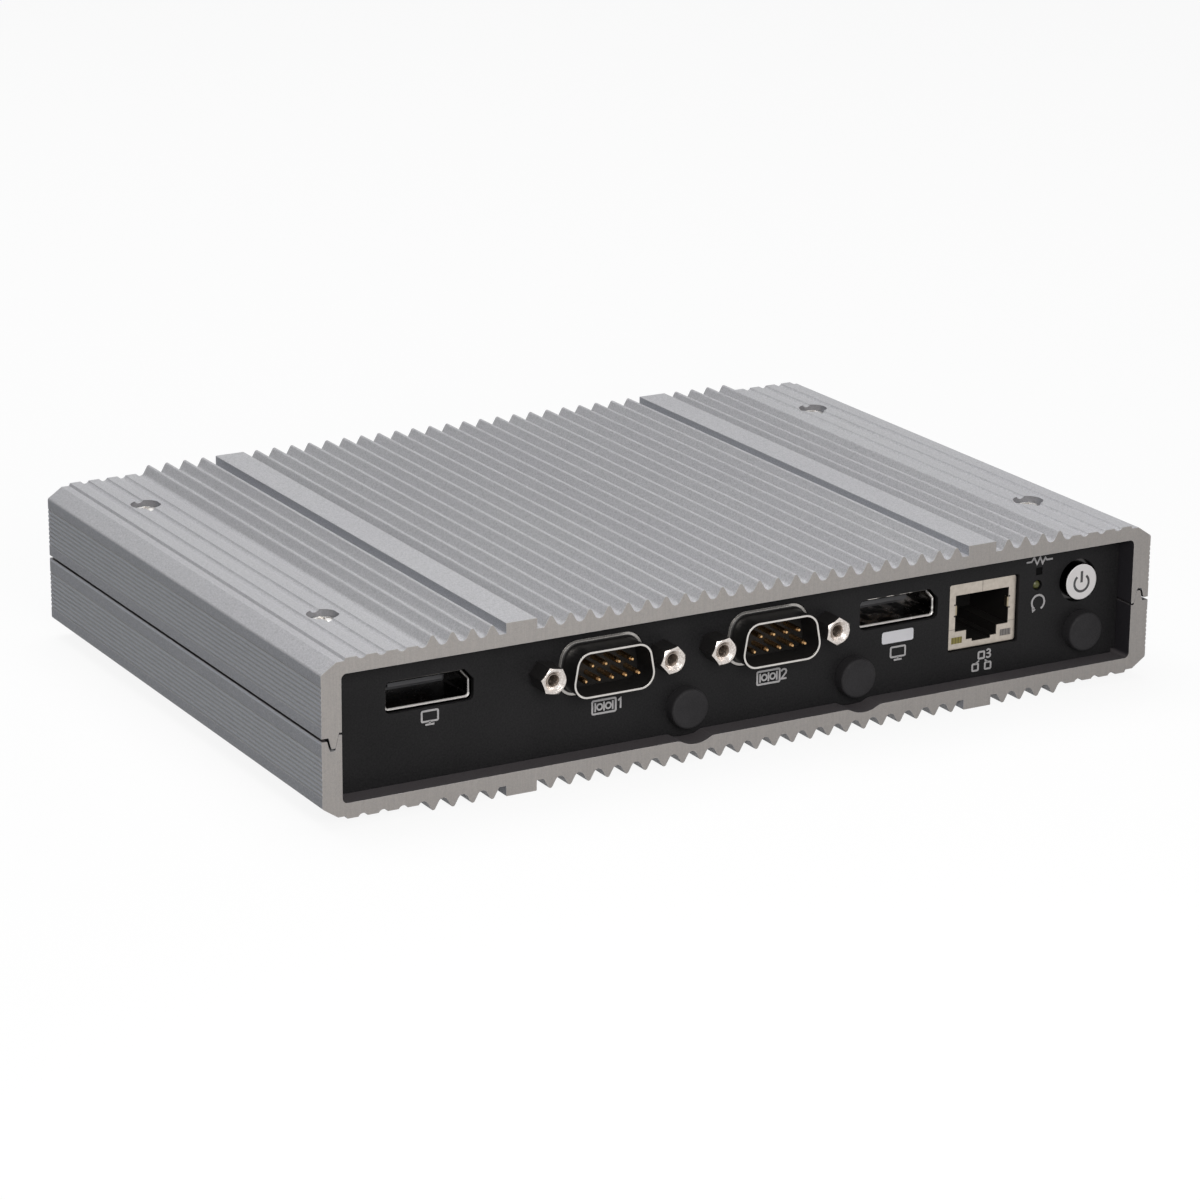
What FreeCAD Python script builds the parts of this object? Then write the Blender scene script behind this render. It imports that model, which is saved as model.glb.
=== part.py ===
import FreeCAD, Part
import math
import os

# Fanless industrial PC: two identical ribbed aluminium extrusions close on each other with a
# tongue and groove, and hold a recessed black connector panel at each end.
# Millimetres.  X runs to the right, Y to the rear and Z up, seen from the connector end with
# the power button.  The origin is under the middle of the bounding box, on the resting plane.
# Inside the functions, heights written as "level" are measured from the split plane at half
# the height of the housing, and depths written as "inset" from the front end of the housing.

Vector = FreeCAD.Vector

# ---------------------------------------------------------------- housing
housing_width = 180.0
housing_depth = 125.0
housing_height = 33.0
side_wall = 4.0                # thickness of the side walls
base_thickness = 2.4           # top or bottom wall, measured at the valleys between the ribs
inner_corner_radius = 1.0

rib_pitch = 4.0
rib_height = 2.0
rib_tip_radius = 0.45
rib_flank_angle = 60.0         # degrees from the wall
low_rib_height = 0.55          # the flat-topped ribs along both sides
low_rib_zone = 20.0            # width of the strip that has low ribs
land_width = 6.3               # flat strips level with the rib tips
chamfer_run = 3.05             # outer corner, across the width
chamfer_drop = 2.05            # outer corner, down the height

groove_pitch = 0.9             # fine lines along the side walls
groove_count = 9
groove_width = 0.42
groove_depth = 0.16
groove_first_level = 2.95

# ---------------------------------------------------------------- joint between the halves
tongue_depth = 1.45            # below the split plane
tongue_tip_width = 0.8
tongue_flank_run = 0.62        # how far each flank leans over its height
tongue_setback = 0.67          # from the inner face of the side wall
joint_fit = 0.05               # clearance on the locating flank
joint_gap = 0.42               # clearance on the outer flank
joint_end_gap = 0.48           # clearance at the bottom of the groove
shoulder_level = 0.68          # outer shoulder beside the tongue
lip_level = 0.08               # outer lip beside the groove
inner_shoulder_level = 1.35
inner_lip_level = 0.95

# ---------------------------------------------------------------- fasteners of the housing
screw_side_inset = 12.2        # distance of the screws from the sides
screw_front_inset = 24.3       # front row, from the front end
screw_rear_inset = 21.0        # rear row, from the rear end
screw_pocket_diameter = 6.0
screw_pocket_depth = 1.9       # below the low ribs
screw_shank_diameter = 3.0
screw_shank_length = 8.0
screw_head_diameter = 5.5
screw_head_height = 1.15
screw_hole_clearance = 0.4     # on the diameter
post_diameter = 6.6

mount_spacing_x = 100.0        # threaded holes in the lower lands
mount_spacing_y = 100.0
mount_hole_diameter = 3.3      # core hole of an M4 thread

# ---------------------------------------------------------------- end panels
panel_recess = 4.5
panel_thickness = 1.0
panel_slot_depth = 0.8         # slots in the top and bottom wall that hold the panels
panel_slot_clearance = 0.05
panel_side_clearance = 0.15

# ---------------------------------------------------------------- main board
board_headroom = 4.95          # top wall to the underside of the board
board_thickness = 1.6
board_end_inset = 8.0          # from each end of the housing
board_side_gap = 2.5           # to the side walls
post_hole_clearance = 0.5
standoff_side_inset = 30.0     # from the sides
standoff_front_inset = 35.0
standoff_rear_inset = 33.0
standoff_diameter = 5.5
board_screw_head_diameter = 5.5
board_screw_head_height = 1.8

# ---------------------------------------------------------------- serial ports (9-pin D)
com2_side_inset = 85.0         # the front connectors keep their distance from the right side
serial_port_spacing = 35.95    # between the middles of the two ports
serial_drop = 3.15             # board to the middle of the ports
serial_screw_spacing = 25.0
serial_overhang = 0.5          # how far rim and standoffs pass the end of the housing
d_opening_width = 17.15
d_opening_height = 8.15
d_side_angle = 10.0
d_corner_radius = 2.6
d_shell_thickness = 0.35
d_collar_width = 0.85          # raised collar round the root of the shell
d_collar_setback = 0.1         # behind the front of the panel
d_collar_fillet = 0.5
d_flange_width = 30.8
d_flange_height = 12.5
d_flange_thickness = 0.5
d_flange_corner_radius = 1.5
d_block_width = 19.2
d_block_height = 10.6
d_block_depth = 6.0
d_block_corner_radius = 0.6
d_panel_clearance = 0.1        # round the collar
d_pin_diameter = 1.0
d_pin_spacing = 2.77
d_row_spacing = 2.84
d_pin_tip_setback = 0.8
d_pin_nose_length = 0.5
d_tail_thickness = 0.6
d_tail_length = 3.0            # lower row
d_short_tail_length = 1.2      # upper row
jack_hex_flats = 4.75
jack_hex_angles = (50.0, 11.0, 7.5, 26.0)   # how each standoff came to rest when tightened
jack_mouth_chamfer = 0.7
jack_face_rim = 0.05           # outside the turned face
jack_nose_rise = 0.3           # rounding of the hexagon's corners
jack_thread_hole = 2.5
jack_thread_depth = 4.0
jack_stud_diameter = 2.8
jack_stud_length = 4.0         # beyond the hexagon
jack_stud_overlap = 0.5        # inside the hexagon

# ---------------------------------------------------------------- display ports
display1_column = -66.3         # from the middle
display2_side_inset = 55.7
display_opening_width = 16.5
display_opening_height = 4.85
display_chamfer_run = 1.6
display_chamfer_drop = 1.8
display_shell_thickness = 0.3
display_mouth_chamfer = 0.2    # inside the front edge of the shell
display_depth = 15.2
display_cavity_depth = 9.5
display_tongue_width = 11.1
display_tongue_thickness = 0.8
display_tongue_setback = 4.8
display_tongue_rise = 0.2      # above the middle of the opening
display_contact_count = 10     # on each side of the tongue
display_contact_pitch = 1.0
display_contact_stagger = 0.25 # shift of each row from the middle
display_contact_width = 0.32
display_contact_thickness = 0.08
display_contact_setback = 0.7  # behind the front of the tongue
display_panel_clearance = 0.35

# ---------------------------------------------------------------- network sockets
lan3_side_inset = 35.95
lan1_column = 28.0             # rear panel
lan2_column = 6.0              # rear panel
network_width = 15.7
network_height = 13.15
network_depth = 17.5
network_sheet = 0.3
network_setback = 0.7          # face behind the front of the panel
network_panel_clearance = 0.25
socket_width = 12.4
socket_top_wall = 2.25
socket_height = 7.3            # down to the light blocks
socket_depth = 13.0
latch_width = 7.1
latch_depth = 1.9
latch_slot_width = 4.3
latch_slot_depth = 0.55
contact_pitch = 1.02
contact_width = 0.36
contact_thickness = 0.35
contact_setback = 3.2
contact_length = 6.8
contact_drop = 2.6
light_width = 2.5
light_height = 1.3
light_side_margin = 0.9
light_bottom_margin = 1.15

# ---------------------------------------------------------------- controls and indicator
button_side_inset = 13.9
button_drop = 3.05             # below the board, as the two beside it
button_diameter = 7.3
button_hole_diameter = 8.7
button_proud = 1.3             # face in front of the panel
button_flange_diameter = 9.5
button_flange_thickness = 0.8
button_flange_gap = 0.2        # behind the panel
button_stem_diameter = 3.0
button_stem_fit = 0.08         # radial, in the switch
button_travel = 0.8
button_edge_radius = 0.25
button_stem_grip = 1.5         # inside the switch
switch_width = 6.2
switch_depth = 4.5
switch_front_gap = 0.7         # between switch and fully pressed flange

reset_side_inset = 23.5
reset_drop = 2.65
reset_hole_diameter = 2.1
reset_plunger_diameter = 1.5
reset_plunger_fit = 0.08       # radial
reset_travel = 0.25
reset_tip_gap = 0.3            # behind the panel
reset_plunger_reach = 1.2      # in front of the switch
reset_plunger_grip = 1.0       # inside the switch
reset_body_width = 4.6
reset_body_depth = 3.5
reset_body_drop = 1.7          # below the plunger's middle
reset_foot_depth = 1.2
switch_end_gap = 0.3           # behind a fully pressed stem

light_pipe_side_inset = 23.2
light_pipe_rise = 0.15
light_pipe_size = 1.4
light_pipe_clearance = 0.05
light_pipe_setback = 0.1       # face behind the front of the panel
light_pipe_collar_rim = 0.4
light_pipe_collar_thickness = 1.0
light_pipe_arm_length = 1.7
status_led_width = 2.0
status_led_depth = 1.0

# ---------------------------------------------------------------- antenna holes and plugs
plug1_side_inset = 103.2
plug2_side_inset = 66.0
plug12_level = -7.1
plug3_side_inset = 13.1
plug3_level = -6.0
plug_hole_diameter = 6.5
plug_head_diameter = 7.8
plug_head_height = 2.5
plug_edge_radius = 0.5
plug_lip_diameter = 7.4
plug_nose_diameter = 5.7
plug_lip_height = 1.6
relief_radius = 6.1            # milled in the lower wall for the antenna nuts
relief_corner_radius = 2.0
relief_length = 12.0

# ---------------------------------------------------------------- rear connectors
usb1_column = -46.0
usb2_column = -24.0
usb_width = 13.1
usb_height = 15.0
usb_depth = 17.0
usb_port_width = 12.4
usb_port_height = 4.9
usb_upper_level = 2.9
usb_lower_level = -3.9
usb_sheet = 0.3
usb_setback = 0.3              # face behind the front of the panel
usb_tongue_setback = 1.2
usb_tongue_drop = 0.9          # under the roof of the socket
usb_tongue_thickness = 1.9
usb_tongue_width = 11.0
usb_cavity_depth = 11.5
usb_panel_clearance = 0.25

power_side_inset = 20.0        # from the side
power_level = 0.0
power_thread_diameter = 7.9
power_bore_diameter = 5.6
power_bore_depth = 9.5
power_pin_diameter = 2.1
power_nut_flats = 10.0
power_nut_thickness = 2.0
power_body_diameter = 10.4
power_body_depth = 9.0
power_thread_proud = 0.4       # in front of the nut
power_pin_setback = 1.0
power_pin_seat = 1.5           # held length behind the bore
power_riser_width = 6.0
power_riser_depth = 3.0
power_hole_clearance = 0.1     # radial

# ---------------------------------------------------------------- parts on the main board
processor_width = 28.0
processor_length = 24.0
processor_carrier_height = 0.9
processor_die_width = 13.0
processor_die_length = 9.0
processor_die_height = 0.4
processor_inset = 62.5         # its centre, from the front end
spreader_width = 48.0
spreader_length = 36.0
pad_width = 40.0
pad_length = 30.0
pad_thickness = 0.5

memory_side_inset = 73.0       # centre of the module, from the left side
memory_inset = 24.0            # front of its socket
memory_card_width = 67.6
memory_card_length = 30.0
memory_card_thickness = 1.0
memory_chip_thickness = 1.0
memory_chip_count = 4
memory_chip_pitch = 14.6
memory_chip_width = 9.5
memory_chip_length = 13.0
memory_chip_margin = 3.0       # to the far edge of the card
memory_socket_depth = 6.0
memory_socket_height = 5.2
memory_socket_mouth = 3.5      # how far the card reaches into the socket
memory_arm_width = 1.4
memory_arm_length = 18.0
memory_card_drop = 2.6         # board to card

storage_side_inset = 42.5      # contact edge of the card, from the left side
storage_rear_gap = 6.0         # to the rear sockets
storage_card_length = 80.0
storage_card_width = 20.8
storage_card_thickness = 0.8
storage_chip_thickness = 1.2
storage_chip_length = 13.0
storage_chip_start = 15.0      # first chip, from the contact edge
storage_chip_pitch = 17.5
storage_chip_count = 3
storage_chip_margin = 2.5      # to the long edges of the card
storage_socket_length = 8.0
storage_socket_mouth = 5.5     # how far the card reaches into the socket
storage_socket_wall = 0.6
storage_socket_height = 4.2
storage_card_drop = 2.0        # board to card
storage_post_diameter = 6.0
storage_waist_diameter = 3.4
storage_head_diameter = 5.5
storage_head_height = 0.8
storage_notch_clearance = 0.1  # radial

cell_side_inset = 26.0
cell_inset = 56.0
cell_diameter = 20.0
cell_height = 3.2

coil_side_inset = 19.0          # from the left side
coil_inset = 46.0              # first coil
coil_pitch = 14.0
coil_count = 3
coil_size = 10.0
coil_height = 4.5
coil_corner_radius = 1.2

# ---------------------------------------------------------------- derived sizes
front_y = -(housing_depth + serial_overhang) / 2.0 + serial_overhang
rear_y = front_y + housing_depth
mid_z = housing_height / 2.0
half_width = housing_width / 2.0
inner_half = half_width - side_wall
valley_level = mid_z - rib_height
ceiling_level = valley_level - base_thickness
board_level = ceiling_level - board_headroom
serial_level = board_level - serial_drop
button_level = board_level - button_drop
reset_level = board_level - reset_drop
light_pipe_level = board_level + light_pipe_rise
land_column = mount_spacing_x / 2.0
screw_column = half_width - screw_side_inset
standoff_column = half_width - standoff_side_inset
power_column = power_side_inset - half_width
coil_column = coil_side_inset - half_width
com2_column = half_width - com2_side_inset
com1_column = com2_column - serial_port_spacing
memory_column = memory_side_inset - half_width
storage_column = storage_side_inset - half_width
display2_column = half_width - display2_side_inset
lan3_column = half_width - lan3_side_inset
button_column = half_width - button_side_inset
reset_column = half_width - reset_side_inset
light_pipe_column = half_width - light_pipe_side_inset
plug1_column = half_width - plug1_side_inset
plug2_column = half_width - plug2_side_inset
plug3_column = half_width - plug3_side_inset
cell_column = half_width - cell_side_inset
serial_columns = (com1_column, com2_column)
plug_places = (
    (plug1_column, plug12_level),
    (plug2_column, plug12_level),
    (plug3_column, plug3_level),
)
slope = math.tan(math.radians(rib_flank_angle))
rib_valley_radius = rib_pitch * slope / 2.0 - rib_height - rib_tip_radius
panel_front = front_y + panel_recess
panel_back = panel_front + panel_thickness
rear_panel_front = rear_y - panel_recess
rear_panel_back = rear_panel_front - panel_thickness
board_top_level = board_level + board_thickness
screw_seat_level = valley_level + low_rib_height - screw_pocket_depth


# ---------------------------------------------------------------- drawing helpers
def closed_wire(corners, place):
    """Wire through (u, v, radius) corners, each rounded by its radius, placed by place(u, v)."""
    joints = []
    count = len(corners)
    for index in range(count):
        u, v, radius = corners[index]
        if radius <= 0.0:
            joints.append((place(u, v), None, place(u, v)))
            continue
        before = corners[index - 1]
        after = corners[(index + 1) % count]
        to_before = Vector(before[0] - u, before[1] - v, 0).normalize()
        to_after = Vector(after[0] - u, after[1] - v, 0).normalize()
        half = to_before.getAngle(to_after) / 2.0
        reach = radius / math.tan(half)
        bisector = (to_before + to_after).normalize()
        apex = radius / math.sin(half) - radius
        start = place(u + to_before.x * reach, v + to_before.y * reach)
        middle = place(u + bisector.x * apex, v + bisector.y * apex)
        end = place(u + to_after.x * reach, v + to_after.y * reach)
        joints.append((start, middle, end))
    edges = []
    for index in range(count):
        start, middle, end = joints[index]
        if middle is not None:
            edges.append(Part.Arc(start, middle, end).toShape())
        following = joints[(index + 1) % count][0]
        if end.distanceToPoint(following) > 1e-6:
            edges.append(Part.LineSegment(end, following).toShape())
    return Part.Wire(edges)


def prism_y(corners, y_start, y_end):
    """Extrusion along Y of corners given as x, level and radius."""
    wire = closed_wire(corners, lambda x, level: Vector(x, y_start, mid_z + level))
    return Part.Face(wire).extrude(Vector(0, y_end - y_start, 0))


def prism_x(corners, x_start, x_end):
    """Extrusion along X of corners given as y, level and radius."""
    wire = closed_wire(corners, lambda y, level: Vector(x_start, y, mid_z + level))
    return Part.Face(wire).extrude(Vector(x_end - x_start, 0, 0))


def prism_z(corners, low_level, high_level):
    """Extrusion along Z of corners given as x, y and radius."""
    wire = closed_wire(corners, lambda x, y: Vector(x, y, mid_z + low_level))
    return Part.Face(wire).extrude(Vector(0, 0, high_level - low_level))


def block(x_min, x_max, y_min, y_max, low_level, high_level):
    """Box between two X, two Y and two levels, in any order."""
    corner = Vector(min(x_min, x_max), min(y_min, y_max), mid_z + min(low_level, high_level))
    size_x = abs(x_max - x_min)
    size_y = abs(y_max - y_min)
    size_z = abs(high_level - low_level)
    return Part.makeBox(size_x, size_y, size_z, corner)


def rod_y(x, level, radius, y_start, y_end):
    """Cylinder along Y."""
    direction = Vector(0, 1 if y_end > y_start else -1, 0)
    return Part.makeCylinder(radius, abs(y_end - y_start), Vector(x, y_start, mid_z + level), direction)


def rod_z(x, y, radius, low_level, high_level):
    """Cylinder along Z."""
    length = high_level - low_level
    return Part.makeCylinder(radius, length, Vector(x, y, mid_z + low_level), Vector(0, 0, 1))


def rectangle(x, level, width, height, radius=0.0):
    """Corners of a rectangle about a centre, for prism_y."""
    half_w = width / 2.0
    half_h = height / 2.0
    return [
        (x - half_w, level - half_h, radius),
        (x + half_w, level - half_h, radius),
        (x + half_w, level + half_h, radius),
        (x - half_w, level + half_h, radius),
    ]


def hexagon(x, level, flats, angle):
    """Corners of a hexagon about a centre, one corner at the angle in degrees."""
    reach = flats / 2.0 / math.cos(math.radians(30.0))
    corners = []
    for index in range(6):
        turn = math.radians(angle + 60.0 * index)
        corners.append((x + reach * math.cos(turn), level + reach * math.sin(turn), 0.0))
    return corners


def edges_along(shape, corners, y):
    """Edges of a shape that lie on an XZ outline at one Y."""
    outline = closed_wire(corners, lambda x, level: Vector(x, y, mid_z + level))
    found = []
    for edge in shape.Edges:
        ends = (edge.FirstParameter, edge.LastParameter, (edge.FirstParameter + edge.LastParameter) / 2.0)
        if all(outline.distToShape(Part.Vertex(edge.valueAt(end)))[0] < 1e-4 for end in ends):
            found.append(edge)
    return found


def mirrored_end(shape):
    """The same piece at the other end of the housing."""
    turned = shape.copy()
    turned.rotate(Vector(0, front_y + housing_depth / 2.0, 0), Vector(0, 0, 1), 180.0)
    return turned


def half_turn(shape):
    """Half a turn about the long middle line of the split plane."""
    turned = shape.copy()
    turned.rotate(Vector(0, 0, mid_z), Vector(0, 1, 0), 180.0)
    return turned


def joined(shapes):
    """One solid from touching solids."""
    result = shapes[0].multiFuse(shapes[1:])
    return result.removeSplitter()


def export(name, shape):
    shape.exportStep(os.path.join("parts", name + ".step"))


# ---------------------------------------------------------------- housing profile
def rib_corners(column, height):
    """Corners of one rib: a rounded ridge at full height, a flat top when it is low."""
    foot = rib_pitch / 2.0
    sunk = valley_level - rib_valley_radius
    if height >= rib_height:
        return [
            (column - foot, sunk, rib_valley_radius),
            (column, valley_level + rib_height + rib_tip_radius, rib_tip_radius),
        ]
    run = foot - (height + rib_valley_radius) / slope
    return [
        (column - foot, sunk, rib_valley_radius),
        (column - run, valley_level + height, 0.0),
        (column + run, valley_level + height, 0.0),
    ]


def ribbed_outline():
    """Outline of the ribbed side, from the left outer corner to the right one."""
    clear = rib_pitch / 2.0 - rib_valley_radius / slope
    corners = [(-half_width, valley_level - chamfer_drop, 0.6)]
    corners.append((-half_width + chamfer_run, valley_level, 0.0))
    last = int((half_width - chamfer_run - clear) / rib_pitch)
    previous = None
    for index in range(-last, last + 1):
        column = index * rib_pitch
        beside_land = abs(abs(column) - land_column) < land_width / 2.0 + clear
        if beside_land:
            continue
        low = abs(column) > half_width - low_rib_zone
        height = low_rib_height if low else rib_height
        rib = rib_corners(column, height)
        if previous is None or column - previous > rib_pitch * 1.01:
            if previous is not None:
                corners.append((previous + clear, valley_level, 0.3))
                side = math.copysign(land_column, column)
                corners.append((side - land_width / 2.0, valley_level, 0.0))
                corners.append((side - land_width / 2.0, mid_z, 0.15))
                corners.append((side + land_width / 2.0, mid_z, 0.15))
                corners.append((side + land_width / 2.0, valley_level, 0.0))
            corners.append((column - clear, valley_level, 0.3 if previous is not None else 0.0))
            corners.extend(rib[1:])
        else:
            corners.extend(rib)
        previous = column
    corners.append((previous + clear, valley_level, 0.0))
    corners.append((half_width - chamfer_run, valley_level, 0.0))
    corners.append((half_width, valley_level - chamfer_drop, 0.6))
    return corners


def groove_corners(side):
    """Fine grooves on one outer side, from the bottom up."""
    corners = []
    for index in range(groove_count):
        level = groove_first_level + groove_pitch * index
        corners.append((side * half_width, level - groove_width / 2.0, 0.0))
        corners.append((side * (half_width - groove_depth), level, 0.0))
        corners.append((side * half_width, level + groove_width / 2.0, 0.0))
    return corners


def half_profile():
    """Section of the upper extrusion, its tongue on the left and its groove on the right."""
    root = inner_half + tongue_setback
    tip = root + tongue_flank_run
    corners = [(-half_width, shoulder_level, 0.0)]
    corners.extend(groove_corners(-1))
    corners.extend(ribbed_outline())
    corners.extend(reversed(groove_corners(1)))
    tip_outer = tip + tongue_tip_width
    lean = tongue_flank_run / (tongue_depth + inner_lip_level)
    outer_root = tip_outer + lean * (tongue_depth + shoulder_level)
    groove_top = tongue_depth + joint_end_gap
    corners.extend([
        (half_width, -lip_level, 0.15),
        (outer_root + joint_gap - lean * (shoulder_level - lip_level), -lip_level, 0.15),
        (tip_outer + joint_gap - lean * joint_end_gap, groove_top, 0.2),
        (tip - joint_fit + lean * joint_end_gap, groove_top, 0.2),
        (root - joint_fit, -inner_lip_level, 0.1),
        (inner_half, -inner_lip_level, 0.1),
        (inner_half, ceiling_level, inner_corner_radius),
        (-inner_half, ceiling_level, inner_corner_radius),
        (-inner_half, inner_shoulder_level, 0.1),
        (-root + lean * (inner_shoulder_level - inner_lip_level), inner_shoulder_level, 0.0),
        (-tip, -tongue_depth, 0.15),
        (-tip_outer, -tongue_depth, 0.15),
        (-outer_root, shoulder_level, 0.1),
    ])
    return corners


def screw_rows():
    return (front_y + screw_front_inset, rear_y - screw_rear_inset)


def machined_half():
    """Upper extrusion with its screw pockets and panel slots."""
    body = prism_y(half_profile(), front_y, rear_y)
    outside = mid_z + 1.0
    cutters = []
    for column in (-screw_column, screw_column):
        for row in screw_rows():
            pocket = rod_z(column, row, screw_pocket_diameter / 2.0, screw_seat_level, outside)
            hole_radius = (screw_shank_diameter + screw_hole_clearance) / 2.0
            hole = rod_z(column, row, hole_radius, ceiling_level - 1.0, outside)
            cutters.append(pocket)
            cutters.append(hole)
    slot_half = inner_half - inner_corner_radius
    slot_top = ceiling_level + panel_slot_depth
    for face, back in ((panel_front, panel_back), (rear_panel_back, rear_panel_front)):
        slot = block(-slot_half, slot_half, face - panel_slot_clearance, back + panel_slot_clearance,
                     ceiling_level - 1.0, slot_top)
        cutters.append(slot)
    return body.cut(cutters)


def antenna_relief(column, level):
    """Rounded trough in the lower wall under an antenna hole."""
    drop = level + ceiling_level
    reach = math.sqrt((relief_radius + relief_corner_radius) ** 2 - (drop + relief_corner_radius) ** 2)
    part = relief_radius / (relief_radius + relief_corner_radius)
    touch_x = reach * part
    touch_level = level - (drop + relief_corner_radius) * part
    floor = -ceiling_level
    turn = math.atan2(drop + relief_corner_radius, reach) / 2.0 + math.radians(45.0)
    centre_level = floor - relief_corner_radius
    middle_x = reach - relief_corner_radius * math.cos(turn)
    middle_level = centre_level + relief_corner_radius * math.sin(turn)

    def at(x, height):
        return Vector(column + x, front_y - 1.0, mid_z + height)

    left_top = at(-reach, floor + 1.0)
    right_top = at(reach, floor + 1.0)
    edges = [
        Part.LineSegment(left_top, at(-reach, floor)).toShape(),
        Part.Arc(at(-reach, floor), at(-middle_x, middle_level), at(-touch_x, touch_level)).toShape(),
        Part.Arc(at(-touch_x, touch_level), at(0, level - relief_radius), at(touch_x, touch_level)).toShape(),
        Part.Arc(at(touch_x, touch_level), at(middle_x, middle_level), at(reach, floor)).toShape(),
        Part.LineSegment(at(reach, floor), right_top).toShape(),
        Part.LineSegment(right_top, left_top).toShape(),
    ]
    return Part.Face(Part.Wire(edges)).extrude(Vector(0, relief_length + 1.0, 0))


def make_housing():
    upper = machined_half()
    lower = half_turn(upper)
    cutters = []
    for column, level in plug_places:
        if level - relief_radius < -ceiling_level:
            cutters.append(antenna_relief(column, level))
    hole_row = mount_spacing_y / 2.0
    centre = (front_y + rear_y) / 2.0
    for column in (-land_column, land_column):
        for row in (centre - hole_row, centre + hole_row):
            cutters.append(rod_z(column, row, mount_hole_diameter / 2.0, -mid_z - 1.0, 1.0 - ceiling_level))
    export("housing_upper", upper)
    export("housing_lower", lower.cut(cutters))


# ---------------------------------------------------------------- housing screws and posts
def housing_screw(column, row):
    """Low-head screw from above, with a cross recess."""
    seat = mid_z + screw_seat_level
    head_radius = screw_head_diameter / 2.0
    edge = screw_head_height * 0.45
    profile = [
        Vector(0, 0, -screw_shank_length),
        Vector(screw_shank_diameter / 2.0 - 0.3, 0, -screw_shank_length),
        Vector(screw_shank_diameter / 2.0, 0, -screw_shank_length + 0.3),
        Vector(screw_shank_diameter / 2.0, 0, 0),
        Vector(head_radius, 0, 0),
        Vector(head_radius, 0, edge),
    ]
    edges = [Part.LineSegment(a, b).toShape() for a, b in zip(profile[:-1], profile[1:])]
    crown = Vector(0, 0, screw_head_height)
    haunch = Vector(head_radius * 0.62, 0, screw_head_height * 0.86)
    edges.append(Part.Arc(profile[-1], haunch, crown).toShape())
    edges.append(Part.LineSegment(crown, profile[0]).toShape())
    screw = Part.Face(Part.Wire(edges)).revolve(Vector(0, 0, 0), Vector(0, 0, 1), 360.0)
    arm = head_radius * 0.62
    recess_floor = screw_head_height * 0.25
    bars = []
    for size_x, size_y in ((arm * 2.0, 0.62), (0.62, arm * 2.0)):
        bars.append(Part.makeBox(size_x, size_y, 2.0, Vector(-size_x / 2.0, -size_y / 2.0, recess_floor)))
    screw = screw.cut(bars)
    screw.rotate(Vector(0, 0, 0), Vector(0, 0, 1), 20.0 + 25.0 * math.copysign(1.0, column))
    screw.translate(Vector(column, row, seat))
    return screw


def make_fastening():
    screws = []
    posts = []
    for column in (-screw_column, screw_column):
        for row in screw_rows():
            top = housing_screw(column, row)
            screws.append(top)
            screws.append(half_turn(housing_screw(-column, row)))
            post = rod_z(column, row, post_diameter / 2.0, -ceiling_level, ceiling_level)
            depth = ceiling_level - (screw_seat_level - screw_shank_length) + 0.5
            radius = screw_shank_diameter / 2.0
            upper_bore = rod_z(column, row, radius, ceiling_level - depth, ceiling_level + 1.0)
            lower_bore = rod_z(column, row, radius, -ceiling_level - 1.0, -ceiling_level + depth)
            posts.append(post.cut([upper_bore, lower_bore]))
    export("housing_screws", Part.makeCompound(screws))
    export("tie_posts", Part.makeCompound(posts))


# ---------------------------------------------------------------- serial ports
def d_corners(column, level, margin):
    """D outline, wide side down, grown by the margin."""
    half_h = d_opening_height / 2.0 + margin
    lean = math.tan(math.radians(d_side_angle))
    half_mid = d_opening_width / 2.0 - d_opening_height / 2.0 * lean + margin / math.cos(math.radians(d_side_angle))
    radius = d_corner_radius + margin
    return [
        (column - half_mid - half_h * lean, level - half_h, radius),
        (column + half_mid + half_h * lean, level - half_h, radius),
        (column + half_mid - half_h * lean, level + half_h, radius),
        (column - half_mid + half_h * lean, level + half_h, radius),
    ]


def serial_rim_y():
    return front_y - serial_overhang


def serial_screw_columns(column):
    return (column - serial_screw_spacing / 2.0, column + serial_screw_spacing / 2.0)


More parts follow.
